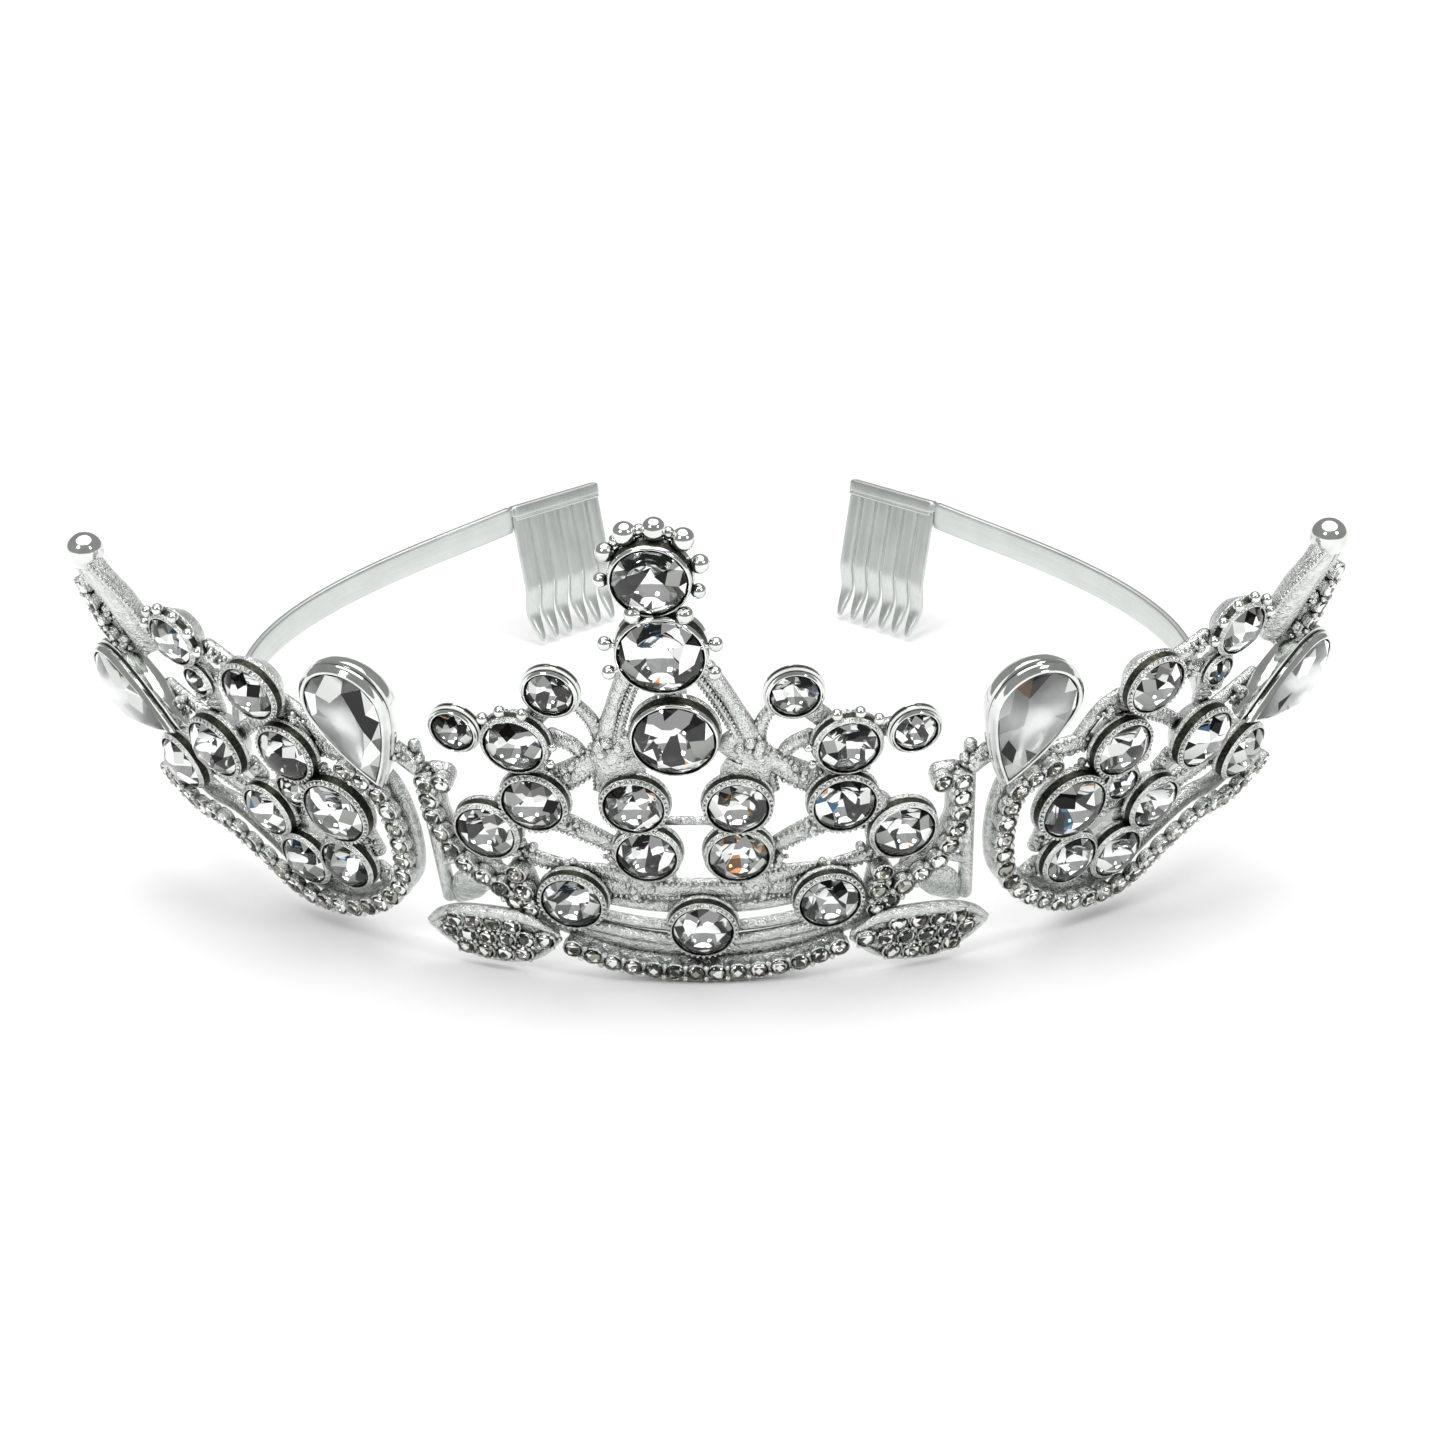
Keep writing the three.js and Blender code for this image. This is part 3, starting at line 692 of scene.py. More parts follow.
def polished_silver(colours):
    """Plating polished like a mirror, with faint waves and painted shade: balls, and slim, domed and pear
    cups.
    """
    surface = Surface("polished_silver", Metallic=1.0)
    place = surface.place()
    waves = surface.noise(place, 420)
    clear = recess(surface, 0.6 * MM)
    grey = [0.82 * level for level in colours.silver]
    tone = surface.blend(waves.between(0.35, 0.65), grey, colours.silver)
    # Painted shade: the recess colour blended in where ambient occlusion finds nooks.
    surface.feed("Base Color", surface.blend(clear, colours.painted_recess_shade, tone))
    surface.feed("Roughness", 0.05 + 0.08 * waves)
    surface.bump(waves, 0.06 * MM)
    return surface.material


def cup_shadow(colours):
    """Painted shadow: the dark inside of a stone's cup and the groove under its rim, mottled at random.
    """
    surface = Surface("cup_shadow", Metallic=1.0)
    shade_mottle = surface.noise(surface.place(), 3000, 3.0)
    dark = [0.3 * level for level in colours.painted_recess_shade]
    surface.feed("Base Color", surface.blend(shade_mottle.between(0.35, 0.7), dark, colours.painted_recess_shade))
    surface.feed("Roughness", 0.3 + 0.25 * shade_mottle)
    return surface.material


def satin_silver(colours):
    """Brushed plating: fine scratches along the piece's own length, and broad cloudy patches."""
    surface = Surface("satin_silver", Metallic=1.0)
    scratches = surface.noise(surface.place((60, 4200, 4200), "lay"), 1.0, 3.0, 0.7)
    clouds = surface.noise(surface.place(attribute="lay"), 260)
    dull = [0.8 * level for level in colours.satin]
    surface.feed("Base Color", surface.blend(
        (0.6 * scratches + 0.4 * clouds).between(0.3, 0.65), dull, colours.satin))
    surface.feed("Roughness", 0.24 + 0.2 * scratches + 0.1 * clouds)
    surface.bump(scratches, 0.02 * MM)
    return surface.material


def facet_tones(surface, tones):
    """A colour for every facet, from its pick of painted reflection: each tone with the share that takes
    it.
    """
    reflection_pick = surface.node("ShaderNodeAttribute", {"attribute_name": "reflection_pick"}, {}).outputs["Fac"]
    ramp = surface.node("ShaderNodeValToRGB", {}, {"Fac": reflection_pick})
    ramp.color_ramp.interpolation = "CONSTANT"
    stops = ramp.color_ramp.elements
    while len(stops) < len(tones):
        stops.new(1)
    start = 0
    for stop, (share, tone) in zip(stops, tones):
        stop.position = start
        stop.color = (*tone, 1)
        start += share
    return ramp.outputs[0]


def cut_glass(name, clear, tones):
    """The crown of a stone: a clear share of its facets is glass; the rest are mirrors in painted
    reflection tones.
    """
    surface = Surface(name, **{"Transmission Weight": 1.0, "IOR": 1.6})
    surface.feed("Base Color", facet_tones(surface, [(clear, (1, 1, 1)), *tones]))
    surface.feed("Metallic", facet_tones(surface, [(clear, (0, 0, 0)), (1 - clear, (1, 1, 1))]))
    smear = surface.noise(surface.place(), 700)
    surface.feed("Roughness", 0.04 * smear.between(0.5, 0.8))
    return surface.material


def mirror_foil(name, tones, dull=0.02):
    """Foil on the back of a stone: every facet takes one of a few tones, with a faint grain.

    dull is the foil's least roughness.
    """
    surface = Surface(name, Metallic=1.0)
    grain = surface.noise(surface.place(), 2600)
    # Painted reflections: besides the foil's own colour, the tones are dark, grey and coloured
    # reflections.
    tone = facet_tones(surface, tones)
    mix = surface.node("ShaderNodeMix", {"data_type": "RGBA", "blend_type": "MULTIPLY"}, {
        0: 1.0, 6: tone, 7: surface.blend(grain, (0.86, 0.87, 0.88), (1, 1, 1))})
    surface.feed("Base Color", mix.outputs[2])
    surface.feed("Roughness", dull + 0.06 * grain)
    return surface.material


FINISHES = {}


def finishes(*names):
    """The named finishes, each made the first time that it is asked for."""
    colours = bpy.context.scene.tiara_colours
    makers = {
        "cast": lambda: cast_silver(colours),
        "polished": lambda: polished_silver(colours),
        "shadow": lambda: cup_shadow(colours),
        "satin": lambda: satin_silver(colours),
        # Painted reflections on the facets: near-black and grey stand for dark reflections, white for
        # glints, blue and orange for fire.
        "crown": lambda: cut_glass("cut_glass", 0.5, [
            (0.09, (0.02, 0.02, 0.02)), (0.08, (0.3, 0.31, 0.29)), (0.11, (0.62, 0.63, 0.61)),
            (0.21, (1, 1, 1)), (0.01, (0.06, 0.12, 0.2))]),
        "foil": lambda: mirror_foil("clear_foil", [
            (0.17, (0.015, 0.015, 0.015)), (0.12, (0.45, 0.46, 0.44)), (0.675, colours.foil),
            (0.025, (0.06, 0.14, 0.24)), (0.01, (0.45, 0.2, 0.07))]),
        "pear_crown": lambda: cut_glass("pear_cut_glass", 0.6, [
            (0.06, (0.04, 0.04, 0.04)), (0.16, (0.6, 0.62, 0.6)), (0.18, (0.95, 0.97, 0.95))]),
        "pear_foil": lambda: mirror_foil("pear_foil", [
            (0.05, (0.05, 0.05, 0.045)), (0.16, (0.62, 0.64, 0.62)), (0.76, colours.foil),
            (0.03, (0.5, 0.24, 0.08))], 0.34),
        "small_crown": lambda: cut_glass("small_cut_glass", 0.4, [
            (0.15, (0.06, 0.06, 0.05)), (0.15, (0.38, 0.38, 0.33)), (0.3, (1, 1, 0.98))]),
        "champagne": lambda: mirror_foil("champagne_foil", [
            (0.24, (0.04, 0.04, 0.03)), (0.16, (0.32, 0.31, 0.25)), (0.36, colours.champagne),
            (0.24, (0.98, 0.98, 0.96))]),
    }
    for name in names:
        if name not in FINISHES:
            FINISHES[name] = makers[name]()
    return [FINISHES[name] for name in names]


# ------------------------------------------------------------------ parts of the castings

class Maker:
    """Adds a casting's details to its piece, on one side of the tiara."""

    def __init__(self, name, side, sizes):
        self.piece = Piece(name)
        self.side = side
        self.bead = sizes.bead / MM
        self.wall = sizes.cup_wall / MM
        self.clearance = sizes.clearance / MM
        self.small = sizes.small_stone / MM / 2
        self.small_step = sizes.small_step / MM

    def finish(self, node):
        """Builds the plated casting in place of a node of the frame."""
        self.piece.build(finishes("cast", "shadow", "polished"), "silver", [node])

    def path(self, route, out):
        """Closely spaced seats along a route; out is one stand-off or one for each route point."""
        route = np.asarray(route, float)
        out = np.broadcast_to(out, len(route))
        rough = lengths(route)[-1]
        line = smooth_line(np.column_stack([route, out]), max(6, int(rough / PATH_STEP)))
        return seats(self.side * line[:, 0], line[:, 1], line[:, 2])

    def limb(self, route, radius, flat=0.8, out=None, beads=None):
        """A rod along a route, from an oval ring; its radius may change from end to end.

        flat is its depth as a share of its width, and it lies on the castings' backs unless out is
        given. Beads of the given size run along both its shoulders.
        """
        radius = np.atleast_1d(radius)
        out = FRAME_BACK + radius.max() * flat if out is None else out
        places = self.path(route, out)
        share = np.linspace(0, 1, len(places))
        wide = np.interp(share, np.linspace(0, 1, len(radius)), radius)
        middle, away = places[:, :3, 3], places[:, :3, 2]
        self.piece.add(tube(middle, away, wide, flat * wide))
        if beads:
            self.shoulder_beads(middle, away, wide, flat, beads)

    def shoulder_beads(self, middle, away, wide, flat, size):
        """Beads along both shoulders of a limb, at 40 degrees from its widest line."""
        forward = unit(np.gradient(middle, axis=0))
        sideways = unit(np.cross(away, forward))
        reach = lengths(middle)
        count = max(2, int(reach[-1] / (2.2 * size)))
        for hand in (-1, 1):
            line = (middle + hand * 0.77 * wide[:, None] * sideways
                    + 0.64 * flat * wide[:, None] * away)
            self.piece.add(ball(size, 8, 4), shifts(spaced(line, reach, count)))

    def granules(self, across, up, spread, count, size, out):
        """A heap of grains in a sunflower spiral.

        Grain i lies at the angle 137.5 i and the distance spread sqrt((i + 0.5) / count).
        """
        number = np.arange(count)
        angle = np.radians(137.5) * number
        share = np.sqrt((number + 0.5) / count)
        grain = size * (0.8 + 0.4 * np.cos(2.1 * number))
        stand = out + 0.8 * (1 - share**2) * spread * 0.5
        places = seats(self.side * (across + spread * share * np.cos(angle)),
                       up + spread * share * np.sin(angle), stand)
        places[:, :3, :3] *= grain[:, None, None]
        self.piece.add(ball(1, 10, 5), places)

    def cup(self, stone):
        """A stone's cup, with painted shadow in its groove and inside: plain, milled, slim, or domed
        behind.

        Slim and domed cups are polished and thinner than the others.
        """
        _, _, diameter, style = stone
        radius = diameter / 2
        polished = style in ("slim", "domed")
        place = stone_seat(self.side, stone)
        inner = radius + self.clearance
        edge = inner + 0.2
        outer = radius + self.wall + (-0.05 if polished else 0.12)
        back = -PAVILION * radius - CULET_GAP - CUP_FLOOR
        rim = 0.2
        if style == "domed":
            angle = np.radians(np.linspace(12, 62, 6))
            bowl = np.column_stack([outer * np.sin(angle), back * np.cos(angle)])
            ridge, groove = outer + 0.12, outer - 0.1
            outside = np.concatenate([bowl, [
                (outer, -1.0), (ridge, -0.9), (ridge, -0.76), (groove, -0.7), (groove, -0.56),
                (ridge, -0.5), (ridge, -0.34), (groove, -0.26), (groove, 0), (edge, rim - 0.1)]])
            grooves = [(9, 10), (13, 14)]
        else:
            groove = outer - 0.16
            outside = np.array([
                (0.5 * outer, back), (0.62 * outer, back + 0.1), (0.9 * outer, -0.58 * radius),
                (outer, -0.44 * radius), (outer, -0.38 * radius), (groove, -0.32 * radius),
                (groove, rim - 0.36), (edge + 0.06, rim - 0.2)])
            grooves = [(5, 6)]
        lip = [(edge - 0.04, rim - 0.03), (edge - 0.1, rim), (inner + 0.06, rim),
               (inner + 0.02, rim - 0.05), (inner, rim - 0.14)]
        inside = [(inner, -0.12), (0.55 * inner, -0.42 * radius), (0.1, -PAVILION * radius - 0.2)]
        profile = np.concatenate([outside, lip, inside])
        # The grooves and the inside take the painted shadow finish.
        shape = turned(profile, 44, [*grooves, (len(outside) + len(lip) - 2, None)])
        self.piece.add(shape, place, lift=2 if polished else 0)
        if style == "milled":
            reach = edge + 0.06
            count = int(2 * np.pi * reach / (2.4 * self.bead))
            spots = place @ radials(round_angles(count), reach, rim - 0.16)
            self.piece.add(ball(0.9 * self.bead, 8, 4), spots)

    def prongs(self, stone, degrees, size, stem=0.0, stand=-0.2):
        """Balls on pins round a cup at the given angles; stem holds them further off its wall."""
        radius = stone[2] / 2
        reach = radius + 0.3 + self.wall + 0.3 * size + stem
        angles = np.radians(degrees)
        angles = angles if self.side > 0 else np.pi - angles
        spots = stone_seat(self.side, stone) @ radials(angles, reach, stand)
        self.piece.add(pin(size, 0.42 * size, size + stem + 0.6), spots, lift=2)

    def stone_row(self, row, *rod):
        """A rod along a row of small stones, and their cups on it."""
        self.limb(row[0], *rod)
        self.small_cups(row_seats(self.side, row, self.small_step))

    def small_cups(self, places, lone=False):
        """Rings for small stones, with grains between neighbours, or round each lone stone."""
        inner = self.small + 0.06
        outer = self.small + 0.24
        ring = [(0.4 * outer, -1.1), (outer, -0.8), (outer, 0.1), (inner + 0.06, 0.2),
                (inner - 0.02, 0.05), (0.2, -0.7)]
        # The ring's inside takes the painted shadow finish.
        self.piece.add(turned(ring, 12, [(4, None)]), places)
        if lone:
            angle = np.radians([45, 135, 225, 315])
            spots = radials(angle, outer - 0.06, 0.14)
            self.piece.add(ball(0.24, 8, 4), (places[:, None] @ spots[None]).reshape(-1, 4, 4))
            return
        between = 0.5 * (places[1:, :3, 3] + places[:-1, :3, 3])
        forward = unit(places[1:, :3, 3] - places[:-1, :3, 3])
        away = places[1:, :3, 2]
        sideways = np.cross(away, forward)
        for hand in (-1, 1):
            spots = between + hand * 0.82 * self.small * sideways + 0.12 * away
            self.piece.add(ball(0.34, 8, 4), shifts(spots))

    def pear_cup(self, pear):
        """A deep polished cup round a pear stone, from pear outlines drawn in and out; painted shadow
        inside.
        """
        def ring(grow, share, height):
            outline = pear_outline(64, grow)
            flat = PEAR_CENTRE + share * (outline - PEAR_CENTRE)
            return np.column_stack([flat, np.full(len(flat), height)])

        wall = 0.3 + self.wall
        outside = [ring(*level) for level in (
            (wall, 0.3, -3.6), (wall, 0.6, -3.5), (wall, 0.8, -3.15), (wall, 0.92, -2.6),
            (wall, 0.985, -1.9), (wall, 1, -1.3), (wall, 1, -1.0), (0.7, 1, -0.85), (0.62, 1, -0.7),
            (0.85, 1, -0.55), (0.85, 1, -0.3), (0.6, 1, -0.1), (0.5, 1, 0.1), (0.4, 1, 0.2))]
        inside = [ring(*level) for level in (
            (0.16, 1, 0.2), (0.08, 1, 0.12), (0.08, 1, -0.3), (0.08, 0.6, -1.7), (0.08, 0.1, -2.5))]
        rings = np.array(outside + inside)
        # A groove under the rim and the inside take the painted shadow finish.
        shape = skin(rings, [(7, 9), (len(outside) + 1, None)])
        self.piece.add(shape, pear_seat(self.side, pear), lift=2)


def middle_casting(sizes):
    """Spire, arch, pairs, swag of rails and both branches, in one casting."""
    make = Maker("middle_casting", 1, sizes)
    for stone in SPIRE.values():
        make.cup(stone)
    # the crest's balls: angles, size, stem and height from the girdle
    for prongs in (
        ([50, 84, 117], 1.15, 0.1, -1.5), ([14, 150], 0.95, 0, -1.4),
        ([-20, 186], 0.75, 0, -1), ([67, 101, 133], 0.6, 0, -1.8),
    ):
        make.prongs(SPIRE["crest"], *prongs)
    make.prongs(SPIRE["neck"], [-22, 14, 166, 202], 0.72, 0.2)
    make.prongs(SPIRE["neck"], [62, 118], 0.85)
    make.limb([(0, 33.5), (0, 37.5)], 1.6)
    # the swag: a beaded rail, two smooth ones over the slots, and the channel of the foot row
    for half, *rod in (
        ([(0, 9.4), (5, 9.4), (11.6, 9.6)], 1.15, 0.7, None, 0.26),
        ([(0, 6.9), (5, 7), (11, 7.9)], 0.75, 0.9),
        ([(0, 4), (6, 4.4), (12.4, 5.6)], 0.62, 1),
        ([(0, 2.7), (6, 3.2), (13, 4.6)], 0.7, 0.9, 0.5),
        ([(0, 1.5), (8, 2.2), (16.2, 4.6)], 1.2, 0.8),
    ):
        make.limb([(-across, up) for across, up in half[:0:-1]] + half, *rod)
    make.limb([(-3, 17.8), (3, 17.8)], 0.5)
    make.stone_row(FOOT_ROW, 0.95, 1.1, 1.15)
    for make.side in HANDS.values():
        for stone in BRANCHES.values():
            make.cup(stone)
        make.prongs(BRANCHES["branch_crown"], [46, 76, 108], 0.6, 0.1)
        make.prongs(BRANCHES["branch_crown"], [176, 208], 0.45)
        # the arch, and the petals over the pairs
        make.limb([(3.2, 37), (4.8, 33.2), (6.2, 29), (6.4, 27.4)], (1.0, 0.9, 1.2), 0.8)
        make.limb([(2.4, 36.4), (3.9, 32.8), (5.3, 28.6)], 0.42, 1, 0.5, 0.2)
        make.limb([(4.1, 28.4), (6.2, 26.6), (5.4, 24)], (1.4, 2.2, 2.6), 0.45)
        make.limb([(6.8, 27.8), (7.4, 25), (7.9, 22)], (1.0, 0.6), 0.8, beads=0.2)
        # the limbs of the branches
        make.limb([(6.8, 27.6), (7.4, 30.4), (8.6, 32.4)], (0.8, 0.6), 0.9, beads=0.2)
        make.limb([(6.6, 26.8), (9.4, 24.4), (12, 22.6)], (1.2, 1.7), 0.55, beads=0.28)
        make.limb([(11, 32.2), (12.6, 30.4)], 1.1)
        make.limb([(8.2, 24), (9.4, 27), (11.4, 28.2)], (0.6, 0.8), 0.9, beads=0.22)
        make.limb([(6.6, 14.2), (10.2, 16.5), (13.6, 18), (16.6, 17.6)], (0.9, 1.5), 0.6, beads=0.28)
        make.limb([(5.6, 10.2), (8.6, 11.1), (12.6, 11.5), (16.2, 12.4), (18, 14.2)], (1.1, 0.7, 1.0),
                  0.7, beads=0.24)
        make.limb([(4.9, 12.8), (5.8, 9.6)], (1.3, 1.7), 0.6)
        make.limb([(3.1, 12.8), (2.6, 9.6)], 0.75, 0.9)
        make.limb([(13.6, 24.2), (14.2, 25.6)], 1.6)
        make.limb([(16.6, 18.6), (17.2, 19.4)], 1.7)
        make.limb([(16.8, 28.3), (18.6, 28.5)], 1.0)
        # heaps of grains: across, up, spread, count, size and stand-off
        for heap in (
            (6.5, 27.4, 1.7, 15, 0.6, 0.5), (10.2, 24, 1.4, 11, 0.46, 0.4),
            (7.4, 13.1, 1.5, 12, 0.46, 0.3), (5.8, 9.2, 1.3, 10, 0.46, 0.6),
            (10.9, 16.9, 0.9, 8, 0.42, 0.5), (16.9, 13.4, 1.5, 11, 0.46, 0.4),
            (11.9, 31.2, 0.8, 7, 0.4, 0.3), (15.6, 24.6, 1.0, 8, 0.42, 0.6),
            (12.2, 11.5, 0.8, 7, 0.4, 0.2),
        ):
            make.granules(*heap)
    make.finish("centre_frame")


def scroll_casting(hand, side, sizes):
    """The upright rail, scroll, hollow leaf and pear cup beside the middle."""
    make = Maker(f"scroll_casting_{hand}", side, sizes)
    make.stone_row(SCROLL_ROW, 1.15)
    make.stone_row(CLUSTER_ROW, 1.15)
    make.limb([(25.8, 24.6), (26.1, 19), (26.5, 12), (27, 4.6)], (0.7, 0.8), 0.9)
    make.limb([(24.6, 21.6), (26, 21.6)], 0.8)
    make.limb([(25.6, 22.4), (27.6, 24.2)], 1.1, 0.8, 0.7)
    make.limb([(20, 11), (22.4, 8.6), (24.6, 6.4), (26.6, 4.6)], (0.6, 1.7, 1.9, 1.1), 0.3, -0.1)
    make.limb([(21.6, 12.2), (24.2, 10.6), (26.4, 9.4)], 0.5, 1, 0.1)
    make.granules(25.2, 22.8, 1.2, 9, 0.45, 0.7)
    make.granules(26.8, 24.4, 1.0, 8, 0.42, 1.6)
    make.pear_cup(PEARS["scroll"])
    make.finish(f"scroll_frame_{hand}")


def leaf_edges(count):
    """Points of the leaf's lower and upper edge at equal shares of their lengths."""
    return smooth_line(LEAF_LOWER, count), smooth_line(LEAF_UPPER, count)


def leaf_stones(side):
    """Places of the leaf's small stones: three staggered rows, kept clear of its edges.

    Each row has its share of the way up, where it starts, and the room that its stones need.
    """
    lower, upper = leaf_edges(200)
    spots = []
    for share, start, need in ((0.2, 16.2, 0.8075), (0.52, 15.6, 0.75), (0.84, 16.8, 0.8075)):
        across = np.arange(start, 27.6, 2.08)
        low = np.interp(across, lower[:, 0], lower[:, 1])
        high = np.interp(across, upper[:, 0], upper[:, 1])
        up = low + share * (high - low)
        room = np.minimum(up - low, high - up)
        spots.append(np.column_stack([across, up])[room > need])
    spots = np.concatenate(spots)
    return seats(side * spots[:, 0], spots[:, 1], LEAF_OUT + LEAF_THICKNESS + 0.35)


def leaf_casting(hand, side, sizes):
    """A domed leaf with a bright rim, pierced for its small stones.

    Each line across it has 9 points, and stands off by a half sine of the way over.
    """
    make = Maker(f"leaf_casting_{hand}", side, sizes)
    lower, upper = leaf_edges(40)
    share = np.linspace(0, 1, 9)
    flat = lower[:, None] + share[:, None] * (upper - lower)[:, None]
    dome = 0.35 * np.sin(np.pi * share)
    face = LEAF_OUT + LEAF_THICKNESS - 0.25 + dome
    loop = np.concatenate([flat, flat[:, ::-1]], axis=1)
    out = np.concatenate([face, face[::-1] - LEAF_THICKNESS + 0.2])
    placed = seats(side * loop[..., 0].ravel(), loop[..., 1].ravel(), np.tile(out, len(lower)))
    rings = placed[:, :3, 3].reshape(len(lower), -1, 3)
    make.piece.add(skin(rings[:, ::-1] if side > 0 else rings))
    make.limb(LEAF_UPPER, (0.35, 0.85, 0.85, 0.35), 0.8, LEAF_OUT + 0.8)
    make.limb(LEAF_LOWER, (0.35, 0.42, 0.42, 0.35), 0.9, LEAF_OUT + 0.65)
    make.small_cups(leaf_stones(side), lone=True)
    make.finish(f"leaf_{hand}")


def wing_casting(hand, side, sizes):
    """Clustered cups, stone-set edge, pear cup and the blade that ends in a bead."""
    make = Maker(f"wing_casting_{hand}", side, sizes)
    for stone in [*WING.values(), *WING_BUDS.values()]:
        make.cup(stone)
    make.prongs(WING["wing_crown"], [15, 48, 82, 116, 150, 184], 0.6)
    make.pear_cup(PEARS["wing"])
    make.stone_row(WING_ROW, 1.15)
    for route in (
        [(33, 21.4), (36.4, 21.6), (38.6, 21)], [(33, 4.4), (35, 6)], [(34.4, 8.6), (35, 11)],
        [(40.6, 24.2), (41.4, 25.6)], [(39.6, 14.8), (41, 14.8)], [(43.6, 14.4), (45, 13)],
        [(47.8, 13.8), (48.8, 15.2)], [(44.6, 29), (47.8, 30.8)], [(50.4, 21.6), (50.3, 25)],
        [(50.3, 27.6), (50.3, 29.4)], [(53.4, 16.4), (56.6, 13.8)], [(60.4, 14.8), (61.4, 18)],
        [(44.6, 8.2), (45.6, 9)], [(41.8, 2), (42.6, 3.2)], [(63.4, 8.6), (61.2, 10.6)],
    ):
        make.limb(route, 0.95, 0.8, beads=0.3)
    make.limb([(44.4, 8.6), (50, 10.4), (56.2, 11.8)], 1.1, 0.7, beads=0.3)
    make.limb([(43, 23.6), (46.6, 21), (48, 19.6)], 0.8, 0.8, beads=0.3)
    # short bridges under the heaps of grains
    for route in (
        [(38.4, 12), (41, 11.3), (44, 10.9)], [(44.8, 27.8), (48.9, 26.6)],
        [(53.2, 19.6), (58, 21.6)], [(36, 20.6), (38.2, 25), (40, 26.4)],
    ):
        make.limb(route, 0.8)
    # the blade, its beaded edges and its polished bead
    make.limb([(52.8, 32.2), (56.6, 30.2), (59.4, 26)], 1.1, 0.7, beads=0.3)
    blade_out = (-0.3, 0.2, 0.9, 1.8, 2.2)
    make.limb([(58.8, 27), (58.2, 30.4), (57.8, 34), (57.5, 37.4), (57.5, 40.4)],
              (2.1, 2.5, 2.4, 2.1, 1.85), 0.62, blade_out)
    for edge in (
        [(56.2, 28.8), (55.6, 31.6), (55.6, 34.6), (56, 37.6), (56.6, 39.6)],
        [(60.8, 28), (60.6, 31), (60, 34.4), (59.2, 37.4), (58.5, 39.6)],
    ):
        make.limb(edge, 0.5, 1, np.add(blade_out, 0.5), 0.22)
    make.piece.add(ball(1.95, 20, 11), seats(side * 57.5, 40.5, 2.1), lift=2)
    make.stone_row(TIP_ROW, 1.2, 0.8, 0.4)
    for heap in (
        (60.8, 26.4, 1.0, 9, 0.5, 0.9), (61.6, 34.2, 1.0, 9, 0.46, 0.9),
        (60.9, 30.4, 0.9, 8, 0.4, 1.0),
    ):
        make.granules(*heap)
    for across, up, spread in (
        (40.6, 11.4, 1.0), (43.9, 17.6, 1.1), (46.6, 15.6, 0.8), (50.9, 23.8, 0.8),
        (46.6, 27.3, 1.0), (54.2, 13, 1.0), (40.6, 3.6, 0.9), (34, 20.4, 1.0), (34.6, 9.8, 0.8),
        (55.4, 20.5, 1.0), (38.4, 25, 0.8), (50.6, 9.6, 0.9), (46.6, 30.3, 0.8), (36.7, 18.9, 0.8),
    ):
        make.granules(across, up, spread, int(6 * spread + 2), 0.42, 0.6)
    make.finish(f"wing_frame_{hand}")


# ------------------------------------------------------------------ stones

def round_stone(name, side, stone, sizes, replaced):
    """One round stone with sixteen girdle corners, turned by its name's number."""
    radius = stone[2] / 2
    shape = brilliant(circle(radius, 16), np.zeros(2), table=sizes.table,
                      crown=sizes.crown * radius, depth=PAVILION * radius, girdle=0.03 * radius)
    turn = Matrix.Rotation(2.4 * seed(name), 4, "Z")
    piece = Piece(name)
    piece.add(shape, stone_seat(side, stone) @ np.array(turn), smooth=False)
    piece.build(finishes("crown", "foil"), "clear_stone", replaced)


def pear_stone(name, side, pear):
    """One pear stone with sixteen girdle corners and a wide table."""
    shape = brilliant(pear_outline(16), PEAR_CENTRE, table=0.62, crown=1.2, depth=2.2, girdle=0.1)
    piece = Piece(name)
    piece.add(shape, pear_seat(side, pear), smooth=False)
    piece.build(finishes("pear_crown", "pear_foil"), "clear_stone", [name])


def small_stones(name, places, radius, replaced):
    """A set of small eight-sided stones, one at each place."""
    shape = brilliant(circle(radius, 8), np.zeros(2), table=0.5, crown=0.42 * radius,
                      depth=0.7 * radius, girdle=0.05 * radius)
    piece = Piece(name)
    piece.add(shape, places, smooth=False)
    piece.build(finishes("small_crown", "champagne"), "smoky_stone", replaced)


# ------------------------------------------------------------------ band and combs

def comb_axes():
    """In plan, on the right: a comb's outer end, its direction to the inner end, and its width."""
    outer, inner = np.array(COMB["outer"], float), np.array(COMB["inner"], float)
    width = np.linalg.norm(inner - outer)
    return outer, (inner - outer) / width, width


